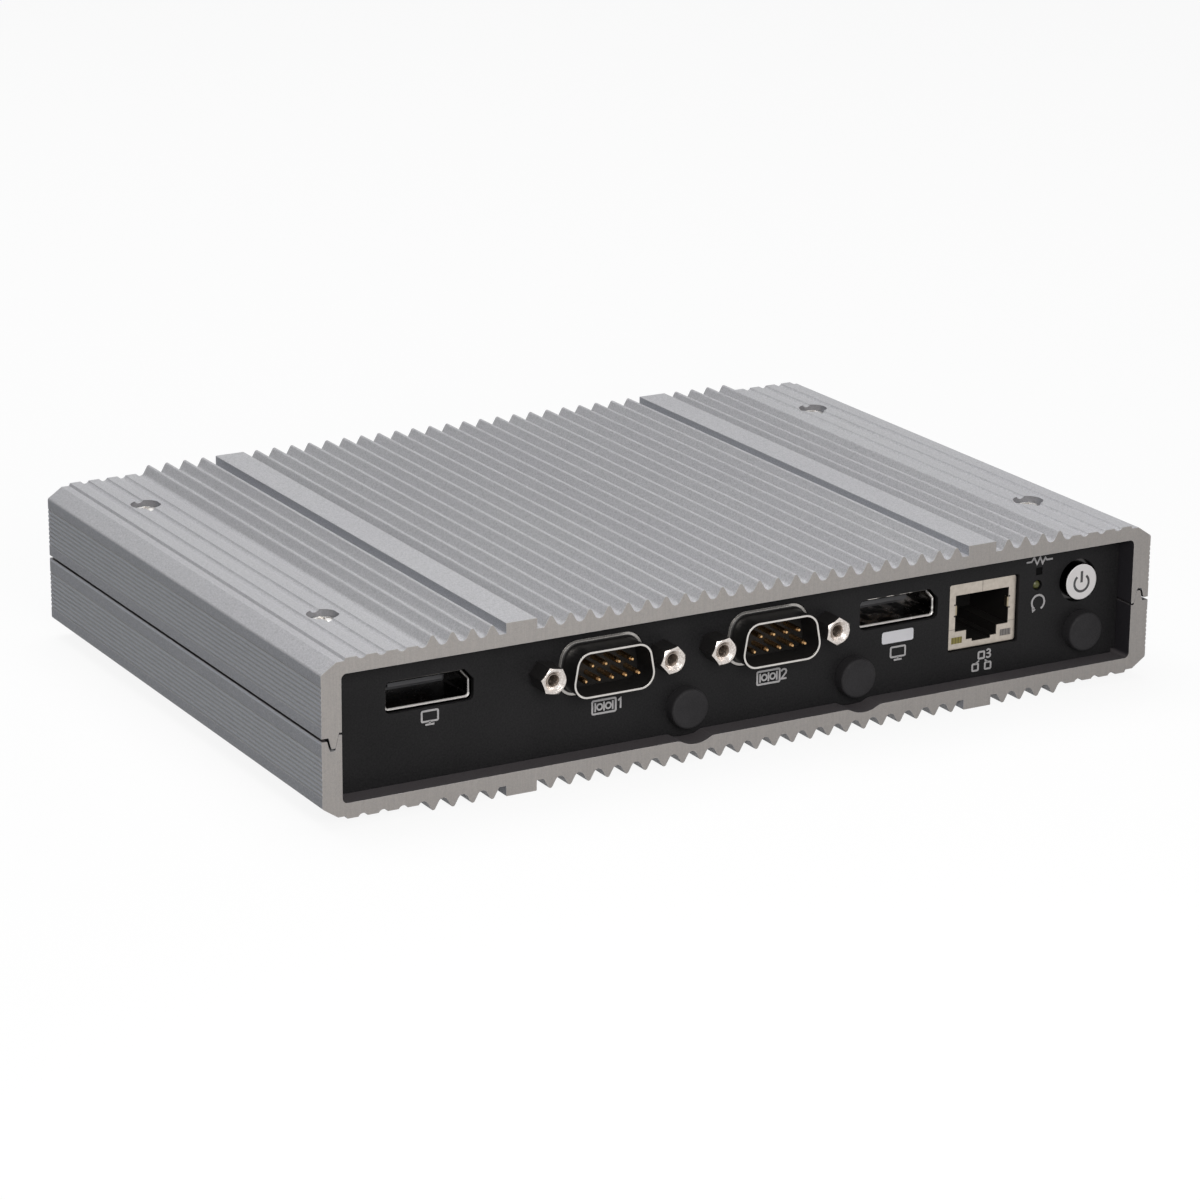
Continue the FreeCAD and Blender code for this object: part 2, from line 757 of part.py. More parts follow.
def make_serial_port(name, column):
    level = serial_level
    rim = serial_rim_y()
    flange_front = panel_back
    flange_back = flange_front + d_flange_thickness
    plate = rectangle(column, level, d_flange_width, d_flange_height, d_flange_corner_radius)
    flange = prism_y(plate, flange_front, flange_back)
    collar_front = panel_front + d_collar_setback
    collar = prism_y(d_corners(column, level, d_shell_thickness + d_collar_width), collar_front, flange_back)
    root = d_corners(column, level, d_shell_thickness)
    tube = prism_y(root, rim, flange_back)
    shell = joined([flange, collar, tube])
    shell = shell.makeFillet(d_collar_fillet, edges_along(shell, root, collar_front))
    cutters = [prism_y(d_corners(column, level, 0.0), rim - 1.0, flange_back + 1.0)]
    for screw in serial_screw_columns(column):
        cutters.append(rod_y(screw, level, jack_stud_diameter / 2.0, flange_front - 1.0, flange_back + 1.0))
    export(name + "_shell", shell.cut(cutters))

    block_back = flange_back + d_block_depth
    core = prism_y(d_corners(column, level, 0.0), panel_back - 0.2, flange_back)
    rear = prism_y(rectangle(column, level, d_block_width, d_block_height, d_block_corner_radius),
                   flange_back, block_back)
    insulator = joined([core, rear])
    pins = []
    pin_holes = []
    tip = rim + d_pin_tip_setback
    radius = d_pin_diameter / 2.0
    for row, count, reach in ((-0.5, 5, block_back + d_tail_length), (0.5, 4, block_back + d_short_tail_length)):
        for index in range(count):
            x = column + (index - (count - 1) / 2.0) * d_pin_spacing
            z = level + row * d_row_spacing
            nose = Part.makeCone(radius * 0.45, radius, d_pin_nose_length, Vector(x, tip, mid_z + z), Vector(0, 1, 0))
            shaft = rod_y(x, z, radius, tip + d_pin_nose_length, block_back)
            half = d_tail_thickness / 2.0
            tail = block(x - half, x + half, block_back, reach, z - half, z + half)
            riser = block(x - half, x + half, reach - d_tail_thickness, reach, z - half, board_level)
            pins.append(joined([nose, shaft, tail, riser]))
            pin_holes.append(rod_y(x, z, radius, panel_back - 2.0, block_back + 1.0))
    export(name + "_insulator", insulator.cut(pin_holes))
    export(name + "_pins", Part.makeCompound(pins))


def make_jack_standoffs():
    """Hexagonal standoffs that hold the serial connectors to the panel."""
    standoffs = []
    angles = iter(jack_hex_angles)
    tip = serial_rim_y()
    for column in serial_columns:
        for screw in serial_screw_columns(column):
            hexed = prism_y(hexagon(screw, serial_level, jack_hex_flats, next(angles)), tip, panel_front)
            corner = jack_hex_flats / 2.0 / math.cos(math.radians(30.0))
            start = Vector(screw, tip, mid_z + serial_level)
            face_radius = jack_hex_flats / 2.0 - jack_face_rim
            rise = jack_nose_rise
            nose = Part.makeCone(face_radius, corner, rise, start, Vector(0, 1, 0))
            rest = rod_y(screw, serial_level, corner, tip + rise, panel_front)
            stud = rod_y(screw, serial_level, jack_stud_diameter / 2.0, panel_front - jack_stud_overlap,
                         panel_front + jack_stud_length)
            hole = rod_y(screw, serial_level, jack_thread_hole / 2.0, tip - 1.0, tip + jack_thread_depth)
            mouth = Part.makeCone(jack_thread_hole / 2.0 + jack_mouth_chamfer, jack_thread_hole / 2.0,
                                  jack_mouth_chamfer, start, Vector(0, 1, 0))
            body = hexed.common(nose.fuse(rest)).fuse(stud)
            standoffs.append(body.cut([hole, mouth]).removeSplitter())
    export("serial_standoffs", Part.makeCompound(standoffs))


# ---------------------------------------------------------------- display ports
def display_corners(column, margin):
    """Opening of a display socket, one corner cut off, grown by the margin."""
    top = board_level - display_shell_thickness + margin
    bottom = board_level - display_shell_thickness - display_opening_height - margin
    half_w = display_opening_width / 2.0 + margin
    round_in = 0.5 + max(margin, 0.0)
    return [
        (column - half_w, bottom, round_in),
        (column + half_w, bottom, round_in),
        (column + half_w, top - display_chamfer_drop - margin * 0.4, 0.4),
        (column + half_w - display_chamfer_run - margin * 0.4, top, 0.4),
        (column - half_w, top, round_in),
    ]


def display_middle_level():
    return board_level - display_shell_thickness - display_opening_height / 2.0


def make_display_port(name, column):
    face = panel_back
    back = face + display_depth
    cavity_back = face + display_cavity_depth
    outer = prism_y(display_corners(column, display_shell_thickness), face, back)
    mouth = display_corners(column, 0.0)
    inner = prism_y(mouth, face - 1.0, back - display_shell_thickness)
    shell = outer.cut(inner)
    export(name + "_shell", shell.makeChamfer(display_mouth_chamfer, edges_along(shell, mouth, face)))

    level = display_middle_level() + display_tongue_rise
    core = prism_y(display_corners(column, 0.0), cavity_back, back - display_shell_thickness)
    tongue = prism_y(
        rectangle(column, level, display_tongue_width, display_tongue_thickness, 0.2),
        face + display_tongue_setback,
        cavity_back,
    )
    export(name + "_insert", joined([core, tongue]))

    contacts = []
    half = display_tongue_thickness / 2.0
    for side in (-1, 1):
        for index in range(display_contact_count):
            x = column + (index - (display_contact_count - 1) / 2.0) * display_contact_pitch
            x += side * display_contact_stagger
            left = x - display_contact_width / 2.0
            surface = level + side * half
            strip = block(left, left + display_contact_width,
                          face + display_tongue_setback + display_contact_setback, cavity_back,
                          surface, surface + side * display_contact_thickness)
            contacts.append(strip)
    export(name + "_contacts", Part.makeCompound(contacts))


# ---------------------------------------------------------------- network sockets
def socket_corners(column):
    """Mouth of a network socket: plug space, latch space and latch slot."""
    half_w = socket_width / 2.0
    half_l = latch_width / 2.0
    half_s = latch_slot_width / 2.0
    top = board_level - socket_top_wall
    shelf = top - socket_height
    latch = shelf - latch_depth
    slot = latch - latch_slot_depth
    return [
        (column - half_w, top, 0.0),
        (column - half_w, shelf, 0.0),
        (column - half_l, shelf, 0.0),
        (column - half_l, latch, 0.0),
        (column - half_s, latch, 0.0),
        (column - half_s, slot, 0.0),
        (column + half_s, slot, 0.0),
        (column + half_s, latch, 0.0),
        (column + half_l, latch, 0.0),
        (column + half_l, shelf, 0.0),
        (column + half_w, shelf, 0.0),
        (column + half_w, top, 0.0),
    ]


def light_centres(column):
    offset = network_width / 2.0 - light_side_margin - light_width / 2.0
    level = board_level - network_height + light_bottom_margin + light_height / 2.0
    return ((column - offset, level), (column + offset, level))


def network_bottom():
    return board_level - network_height


def make_network_socket(name, column, rear):
    """Shielded network socket under the board, built at the front end and turned for the rear."""
    if rear:
        column = -column
    face = panel_front + network_setback
    back = face + network_depth
    bottom = network_bottom()
    middle = board_level - network_height / 2.0
    half_w = network_width / 2.0
    outer = prism_y(rectangle(column, middle, network_width, network_height, 0.5), face, back)
    core_space = block(column - half_w + network_sheet, column + half_w - network_sheet,
                       face + network_sheet, back - network_sheet,
                       bottom + network_sheet, board_level - network_sheet)
    mouth = prism_y(socket_corners(column), face - 1.0, face + 1.0)
    windows = []
    for x, level in light_centres(column):
        windows.append(prism_y(rectangle(x, level, light_width, light_height), face - 1.0, face + 1.0))
    shield = outer.cut([core_space, mouth] + windows)

    cavity = prism_y(socket_corners(column), face - 1.0, face + socket_depth)
    insert = core_space.cut([cavity])
    lights = []
    for x, level in light_centres(column):
        pipe_end = face + socket_depth
        lights.append(prism_y(rectangle(x, level, light_width, light_height), face + 0.05, pipe_end))
    contacts = []
    top = board_level - socket_top_wall
    for index in range(8):
        x = column + (index - 3.5) * contact_pitch
        start = face + contact_setback
        end = start + contact_length
        wire = [
            (start, top, 0.0),
            (start + contact_thickness * 1.5, top, 0.0),
            (end, top - contact_drop + contact_thickness, 0.0),
            (end - contact_thickness, top - contact_drop, 0.0),
        ]
        contacts.append(prism_x(wire, x - contact_width / 2.0, x + contact_width / 2.0))
    shapes = {
        "_shield": shield,
        "_insert": insert.cut(lights),
        "_contacts": Part.makeCompound(contacts),
        "_lights": Part.makeCompound(lights),
    }
    for suffix, shape in shapes.items():
        export(name + suffix, mirrored_end(shape) if rear else shape)


# ---------------------------------------------------------------- universal serial ports
def usb_middle():
    return board_level - usb_height / 2.0


def make_usb_port(name, column):
    """Two stacked sockets in one shield, made at the front end and turned to the rear."""
    column = -column
    face = panel_front + usb_setback
    back = face + usb_depth
    outer = prism_y(rectangle(column, usb_middle(), usb_width, usb_height, 0.4), face, back)
    half_w = usb_width / 2.0 - usb_sheet
    core_space = block(column - half_w, column + half_w, face + usb_sheet, back - usb_sheet,
                       board_level - usb_sheet, board_level - usb_height + usb_sheet)
    mouths = []
    cavities = []
    tongues = []
    for level in (usb_upper_level, usb_lower_level):
        outline = rectangle(column, level, usb_port_width, usb_port_height)
        mouths.append(prism_y(outline, face - 1.0, face + 1.0))
        cavities.append(prism_y(outline, face - 1.0, face + usb_cavity_depth))
        tongue_level = level + usb_port_height / 2.0 - usb_tongue_thickness / 2.0 - usb_tongue_drop
        tongue = rectangle(column, tongue_level, usb_tongue_width, usb_tongue_thickness, 0.2)
        tongues.append(prism_y(tongue, face + usb_tongue_setback, face + usb_cavity_depth))
    shield = outer.cut([core_space] + mouths)
    insert = joined([core_space.cut(cavities)] + tongues)
    export(name + "_shell", mirrored_end(shield))
    export(name + "_insert", mirrored_end(insert))


# ---------------------------------------------------------------- supply socket
def make_power_socket():
    """Threaded low-voltage socket with its nut on the rear panel."""
    x = power_column
    level = power_level
    outer = rear_panel_front + power_nut_thickness + power_thread_proud
    body_end = rear_panel_back - power_body_depth
    thread = rod_y(x, level, power_thread_diameter / 2.0, rear_panel_back, outer)
    body = rod_y(x, level, power_body_diameter / 2.0, body_end, rear_panel_back)
    half = power_riser_width / 2.0
    riser = block(x - half, x + half, body_end, body_end + power_riser_depth, level, board_level)
    bore_end = outer - power_bore_depth
    bore = rod_y(x, level, power_bore_diameter / 2.0, outer + 1.0, bore_end)
    pin_end = bore_end - power_pin_seat
    pin_seat = rod_y(x, level, power_pin_diameter / 2.0, bore_end, pin_end)
    socket = joined([thread, body, riser]).cut([bore, pin_seat])
    pin = rod_y(x, level, power_pin_diameter / 2.0, pin_end, outer - power_pin_setback)
    nut = prism_y(hexagon(x, level, power_nut_flats, 15.0), rear_panel_front,
                  rear_panel_front + power_nut_thickness)
    nut = nut.cut(rod_y(x, level, power_thread_diameter / 2.0, rear_panel_front - 1.0, outer + 1.0))
    export("power_socket_body", socket)
    export("power_socket_pin", pin)
    export("power_socket_nut", nut)


# ---------------------------------------------------------------- panels
def panel_blank(y_start, y_end):
    width = 2.0 * (inner_half - inner_corner_radius - panel_side_clearance)
    height = 2.0 * (ceiling_level + panel_slot_depth - panel_slot_clearance)
    plate = prism_y(rectangle(0.0, 0.0, width, height, 0.8), y_start, y_end)
    ear_width = 2.0 * (inner_half - panel_side_clearance)
    ear_height = 2.0 * (ceiling_level - inner_corner_radius)
    ears = prism_y(rectangle(0.0, 0.0, ear_width, ear_height, 0.3), y_start, y_end)
    return joined([plate, ears])


def network_cutout(column, y_start, y_end):
    grow = 2.0 * network_panel_clearance
    middle = board_level - network_height / 2.0
    corners = rectangle(column, middle, network_width + grow, network_height + grow, 0.4)
    return prism_y(corners, y_start, y_end)


def make_front_panel():
    panel = panel_blank(panel_front, panel_back)
    start = panel_front - 1.0
    end = panel_back + 1.0
    cutters = []
    for column in serial_columns:
        cutters.append(prism_y(d_corners(column, serial_level, d_shell_thickness + d_collar_width + d_panel_clearance), start, end))
        for screw in serial_screw_columns(column):
            cutters.append(rod_y(screw, serial_level, jack_stud_diameter / 2.0 + 0.15, start, end))
    for column in (display1_column, display2_column):
        margin = display_shell_thickness + display_panel_clearance
        cutters.append(prism_y(display_corners(column, margin), start, end))
    cutters.append(network_cutout(lan3_column, start, end))
    cutters.append(rod_y(button_column, button_level, button_hole_diameter / 2.0, start, end))
    cutters.append(rod_y(reset_column, reset_level, reset_hole_diameter / 2.0, start, end))
    window = light_pipe_size + 2.0 * light_pipe_clearance
    cutters.append(prism_y(rectangle(light_pipe_column, light_pipe_level, window, window), start, end))
    for column, level in plug_places:
        cutters.append(rod_y(column, level, plug_hole_diameter / 2.0, start, end))
    export("front_panel", panel.cut(cutters))


def make_rear_panel():
    panel = panel_blank(rear_panel_back, rear_panel_front)
    start = rear_panel_back - 1.0
    end = rear_panel_front + 1.0
    cutters = []
    for column in (lan1_column, lan2_column):
        cutters.append(network_cutout(column, start, end))
    grow = 2.0 * usb_panel_clearance
    for column in (usb1_column, usb2_column):
        corners = rectangle(column, usb_middle(), usb_width + grow, usb_height + grow, 0.4)
        cutters.append(prism_y(corners, start, end))
    radius = power_thread_diameter / 2.0 + power_hole_clearance
    cutters.append(rod_y(power_column, power_level, radius, start, end))
    export("rear_panel", panel.cut(cutters))


# ---------------------------------------------------------------- antenna plugs
def make_plugs():
    """Rubber plugs, pushed through the unused antenna holes."""
    number = 0
    for column, level in plug_places:
        number += 1
        tip = panel_front - plug_head_height
        head = rod_y(column, level, plug_head_diameter / 2.0, tip, panel_front)
        rim = [edge for edge in head.Edges if abs(edge.BoundBox.YMax - tip) < 1e-6 and edge.Closed]
        head = head.makeFillet(plug_edge_radius, rim)
        neck = rod_y(column, level, plug_hole_diameter / 2.0, panel_front, panel_back)
        lip = Part.makeCone(plug_lip_diameter / 2.0, plug_nose_diameter / 2.0, plug_lip_height,
                            Vector(column, panel_back, mid_z + level), Vector(0, 1, 0))
        export("antenna_plug_%d" % number, joined([head, neck, lip]))


# ---------------------------------------------------------------- power button and reset
def make_power_button():
    """Round push button with a flange behind the panel and a stem into the switch."""
    face = panel_front - button_proud
    flange_front = panel_back + button_flange_gap
    flange_back = flange_front + button_flange_thickness
    cap = rod_y(button_column, button_level, button_diameter / 2.0, face, flange_back)
    rim = [edge for edge in cap.Edges if abs(edge.BoundBox.YMax - face) < 1e-6 and edge.Closed]
    cap = cap.makeFillet(button_edge_radius, rim)
    flange = rod_y(button_column, button_level, button_flange_diameter / 2.0, flange_front, flange_back)
    body_front = flange_back + button_travel + switch_front_gap
    stem_end = body_front + button_stem_grip
    stem = rod_y(button_column, button_level, button_stem_diameter / 2.0, flange_back, stem_end)
    export("power_button", joined([cap, flange, stem]))

    height = board_level - button_level
    half_w = switch_width / 2.0
    body = block(button_column - half_w, button_column + half_w, body_front, body_front + switch_depth,
                 button_level - height, board_level)
    bore = rod_y(button_column, button_level, button_stem_diameter / 2.0 + button_stem_fit,
                 body_front - 1.0, stem_end + button_travel + switch_end_gap)
    export("power_switch", body.cut(bore))


def make_reset():
    """Recessed reset plunger, reached with a pin through its hole."""
    tip = panel_back + reset_tip_gap
    body_front = tip + reset_plunger_reach
    stem_end = body_front + reset_plunger_grip
    plunger = rod_y(reset_column, reset_level, reset_plunger_diameter / 2.0, tip, stem_end)
    export("reset_plunger", plunger)
    body_back = body_front + reset_body_depth
    half_w = reset_body_width / 2.0
    lower = reset_level - reset_body_drop
    body = block(reset_column - half_w, reset_column + half_w, body_front, body_back,
                 lower, light_pipe_floor())
    foot = block(reset_column - half_w, reset_column + half_w, body_back - reset_foot_depth, body_back,
                 lower, board_level)
    bore = rod_y(reset_column, reset_level, reset_plunger_diameter / 2.0 + reset_plunger_fit,
                 body_front - 1.0, stem_end + reset_travel + switch_end_gap)
    export("reset_switch", joined([body, foot]).cut(bore))


def light_pipe_floor():
    """Underside of the light pipe, on which the reset switch ends."""
    return light_pipe_level - light_pipe_size / 2.0 - light_pipe_collar_rim


def make_light_pipe():
    """Clear pipe from the status window back to its light source under the board."""
    half = light_pipe_size / 2.0
    column = light_pipe_column
    low = light_pipe_level - half
    face = panel_front + light_pipe_setback
    front = block(column - half, column + half, face, panel_back, low, light_pipe_level + half)
    floor = light_pipe_floor()
    rim = light_pipe_collar_rim
    collar_back = panel_back + light_pipe_collar_thickness
    collar = block(column - half - rim, column + half + rim, panel_back, collar_back,
                   floor, light_pipe_level + half + rim)
    arm_back = collar_back + light_pipe_arm_length
    arm = block(column - half, column + half, collar_back, arm_back, floor, board_level)
    export("status_light_pipe", joined([front, collar, arm]))
    led_half = status_led_width / 2.0
    source = block(column - led_half, column + led_half, arm_back, arm_back + status_led_depth,
                   floor, board_level)
    export("status_led", source)


# ---------------------------------------------------------------- board and what it carries
def standoff_places():
    places = []
    for column in (-standoff_column, standoff_column):
        for row in (front_y + standoff_front_inset, rear_y - standoff_rear_inset):
            places.append((column, row))
    return places


def make_board():
    half = inner_half - board_side_gap
    start = front_y + board_end_inset
    end = rear_y - board_end_inset
    corners = [(-half, start, 2.0), (half, start, 2.0), (half, end, 2.0), (-half, end, 2.0)]
    board = prism_z(corners, board_level, board_top_level)
    cutters = []
    radius = post_diameter / 2.0 + post_hole_clearance
    for column in (-screw_column, screw_column):
        for row in screw_rows():
            cutters.append(rod_z(column, row, radius, board_level - 1.0, board_top_level + 1.0))
    for column, row in standoff_places():
        hole = screw_shank_diameter / 2.0
        cutters.append(rod_z(column, row, hole, board_level - 1.0, board_top_level + 1.0))
    notch_half = d_block_width / 2.0 + 0.9
    notch_end = panel_back + d_flange_thickness + d_block_depth + 0.8
    for column in serial_columns:
        cutters.append(block(column - notch_half, column + notch_half, start - 1.0, notch_end,
                             board_level - 1.0, board_top_level + 1.0))
    export("main_board", board.cut(cutters))


def make_board_fastening():
    standoffs = []
    screws = []
    radius = screw_shank_diameter / 2.0
    for column, row in standoff_places():
        standoff = rod_z(column, row, standoff_diameter / 2.0, board_top_level, ceiling_level)
        standoffs.append(standoff.cut(rod_z(column, row, radius, board_top_level - 1.0, ceiling_level + 1.0)))
        head_low = board_level - board_screw_head_height
        head = rod_z(column, row, board_screw_head_diameter / 2.0, head_low, board_level)
        shank = rod_z(column, row, radius, board_level, ceiling_level - 0.2)
        socket = prism_z([(x, y, 0.0) for x, y in hexagon_plan(column, row, 2.0)], head_low - 1.0, head_low + 1.0)
        screws.append(joined([head, shank]).cut(socket))
    export("board_standoffs", Part.makeCompound(standoffs))
    export("board_screws", Part.makeCompound(screws))


def hexagon_plan(x, y, flats):
    reach = flats / 2.0 / math.cos(math.radians(30.0))
    corners = []
    for index in range(6):
        turn = math.radians(60.0 * index)
        corners.append((x + reach * math.cos(turn), y + reach * math.sin(turn)))
    return corners


def rounded_plan(x, y, width, length, radius):
    """Corners of a rounded rectangle seen from above, for prism_z."""
    half_w = width / 2.0
    half_l = length / 2.0
    return [
        (x - half_w, y - half_l, radius),
        (x + half_w, y - half_l, radius),
        (x + half_w, y + half_l, radius),
        (x - half_w, y + half_l, radius),
    ]


def make_cooling():
    """Processor on top of the board, its copper spreader and the pad under the upper wall."""
    y = front_y + processor_inset
    carrier_top = board_top_level + processor_carrier_height
    die_top = carrier_top + processor_die_height
    carrier = prism_z(rounded_plan(0.0, y, processor_width, processor_length, 0.0), board_top_level, carrier_top)
    die = prism_z(rounded_plan(0.0, y, processor_die_width, processor_die_length, 0.0), carrier_top, die_top)
    export("processor", joined([carrier, die]))
    pad_low = ceiling_level - pad_thickness
    export("heat_spreader", prism_z(rounded_plan(0.0, y, spreader_width, spreader_length, 2.0), die_top, pad_low))
    export("thermal_pad", prism_z(rounded_plan(0.0, y, pad_width, pad_length, 0.0), pad_low, ceiling_level))


def make_memory():
    """Memory module, held flat in its socket under the board."""
    half = memory_card_width / 2.0
    left = memory_column - half
    right = memory_column + half
    front = front_y + memory_inset
    rail_back = front + memory_socket_depth
    low = board_level - memory_socket_height
    card_top = board_level - memory_card_drop
    card_low = card_top - memory_card_thickness
    card_front = rail_back - memory_socket_mouth
    outer_left = left - memory_arm_width
    outer_right = right + memory_arm_width
    socket = block(outer_left, outer_right, front, rail_back, low, board_level)
    arm_back = rail_back + memory_arm_length
    arms = [
        block(outer_left, left, rail_back, arm_back, low, board_level),
        block(right, outer_right, rail_back, arm_back, low, board_level),
    ]
    slot = block(left, right, card_front, rail_back, card_low, card_top)
    export("memory_socket", joined([socket] + arms).cut(slot))

    card = block(left, right, card_front, card_front + memory_card_length, card_low, card_top)
    key = rod_z(memory_column - half * 0.3, card_front, memory_card_thickness * 0.8, card_low - 1.0, board_level)
    pieces = [card.cut(key)]
    chip_front = card_front + memory_card_length - memory_chip_length - memory_chip_margin
    for index in range(memory_chip_count):
        x = memory_column + (index - (memory_chip_count - 1) / 2.0) * memory_chip_pitch
        pieces.append(block(x - memory_chip_width / 2.0, x + memory_chip_width / 2.0, chip_front,
                            chip_front + memory_chip_length, card_low - memory_chip_thickness, card_low))
    export("memory_module", joined(pieces))


def make_storage():
    """Storage card, its socket and the shouldered screw that holds its far end."""
    back = rear_y - panel_recess - usb_setback - usb_depth - storage_rear_gap
    front = back - storage_card_width
    low = board_level - storage_socket_height
    card_top = board_level - storage_card_drop
    card_low = card_top - storage_card_thickness
    socket_right = storage_column + storage_socket_mouth
    socket = block(socket_right - storage_socket_length, socket_right, front - storage_socket_wall,
                   back + storage_socket_wall, low, board_level)
    slot = block(storage_column, socket_right, front, back, card_low, card_top)
    export("storage_socket", socket.cut(slot))

    end = storage_column + storage_card_length
    middle = (front + back) / 2.0
    notch = rod_z(end, middle, storage_waist_diameter / 2.0 + storage_notch_clearance, low, board_level)
    pieces = [block(storage_column, end, front, back, card_low, card_top).cut(notch)]
    for index in range(storage_chip_count):
        chip_left = storage_column + storage_chip_start + index * storage_chip_pitch
        pieces.append(block(chip_left, chip_left + storage_chip_length, front + storage_chip_margin,
                            back - storage_chip_margin, card_low - storage_chip_thickness, card_low))
    export("storage_card", joined(pieces))

    post = rod_z(end, middle, storage_post_diameter / 2.0, card_top, board_level)
    waist = rod_z(end, middle, storage_waist_diameter / 2.0, card_low, card_top)
    head = rod_z(end, middle, storage_head_diameter / 2.0, card_low - storage_head_height, card_low)
    export("storage_screw", joined([post, waist, head]))


def make_board_parts():
    """Coin cell and the coils of the supply, under the board."""
    cell = rod_z(cell_column, front_y + cell_inset, cell_diameter / 2.0, board_level - cell_height, board_level)
    export("coin_cell", cell)
    coils = []
    for index in range(coil_count):
        y = front_y + coil_inset + index * coil_pitch
        plan = rounded_plan(coil_column, y, coil_size, coil_size, coil_corner_radius)
        coils.append(prism_z(plan, board_level - coil_height, board_level))
    export("supply_coils", Part.makeCompound(coils))


# ---------------------------------------------------------------- build
os.makedirs("parts", exist_ok=True)
make_housing()
make_fastening()
make_front_panel()
make_rear_panel()
make_serial_port("com1", com1_column)
make_serial_port("com2", com2_column)
make_jack_standoffs()
make_display_port("display1", display1_column)
make_display_port("display2", display2_column)
make_network_socket("lan3", lan3_column, False)
make_network_socket("lan1", lan1_column, True)
make_network_socket("lan2", lan2_column, True)
make_usb_port("usb1", usb1_column)
make_usb_port("usb2", usb2_column)
make_power_socket()
make_plugs()
make_power_button()
make_reset()
make_light_pipe()
make_board()
make_board_fastening()
make_cooling()
make_memory()
make_storage()
make_board_parts()
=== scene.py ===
import math

import bpy
from mathutils import Matrix, Vector


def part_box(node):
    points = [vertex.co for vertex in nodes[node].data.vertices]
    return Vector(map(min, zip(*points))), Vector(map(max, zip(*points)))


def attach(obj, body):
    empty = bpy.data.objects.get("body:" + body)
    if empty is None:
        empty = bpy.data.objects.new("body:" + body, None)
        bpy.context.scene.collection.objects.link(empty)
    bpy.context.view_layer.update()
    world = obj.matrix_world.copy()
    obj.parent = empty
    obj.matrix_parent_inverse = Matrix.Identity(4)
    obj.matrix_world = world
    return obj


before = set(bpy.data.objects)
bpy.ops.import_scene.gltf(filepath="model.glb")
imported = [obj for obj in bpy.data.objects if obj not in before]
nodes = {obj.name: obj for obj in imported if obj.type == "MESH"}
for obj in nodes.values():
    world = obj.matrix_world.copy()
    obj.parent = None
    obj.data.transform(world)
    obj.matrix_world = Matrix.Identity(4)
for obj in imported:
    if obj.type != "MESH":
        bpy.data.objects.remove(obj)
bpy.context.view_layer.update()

MM = 0.001
RECORD_BODY = "pc"

# The few places of the CAD model that the dressing follows, in millimetres of the part's frame.
panel_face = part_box("front_panel")[0][1] / MM
rear_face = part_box("rear_panel")[1][1] / MM
front_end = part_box("housing_upper")[0][1] / MM
serial_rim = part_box("com1_shell")[0][1] / MM
display_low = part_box("display1_shell")[0][2] / MM
mid_z = 16.5               # level of the joint between the housing halves
wall_inside = 86.0         # inner faces of the side walls, from the middle
wall_outside = 90.0        # outer faces of the side walls, from the middle
recess_reach = 12.1        # floor and ceiling of the recesses, from mid_z
joint_low = -1.75          # lowest and highest place of the tongue and groove, from mid_z
joint_high = 1.45
trough_places = [(-13.2, 9.4), (24.0, 9.4)]    # x and z of the reliefs under two antenna plugs
trough_radius = 6.25
groove_first = 2.95        # first drawn line of a side wall, from mid_z
groove_pitch = 0.9
groove_pitches = 8.3       # from the first drawn line to the end of the last one
screw_places = [(x, y) for x in (-77.8, 77.8) for y in (-37.95, 41.75)]
pocket_radius = 3.1
button_face_radius = 3.62

# How the prints and the network sockets' sheet details are laid out, in millimetres.
ink_rise = 0.03
ink_sink = 0.01
glyph_height = 2.3
socket_half_width = 6.2    # wall of a network socket's opening, from its middle
socket_fold_end = 7.8      # outer end of the folds beside it


# ---------------------------------------------------------------- material tools
def rgb(red, green, blue):
    return (red, green, blue, 1.0)


def grey(value, warm=0.0):
    return rgb(value * (1.0 + warm), value, value * (1.0 - warm))


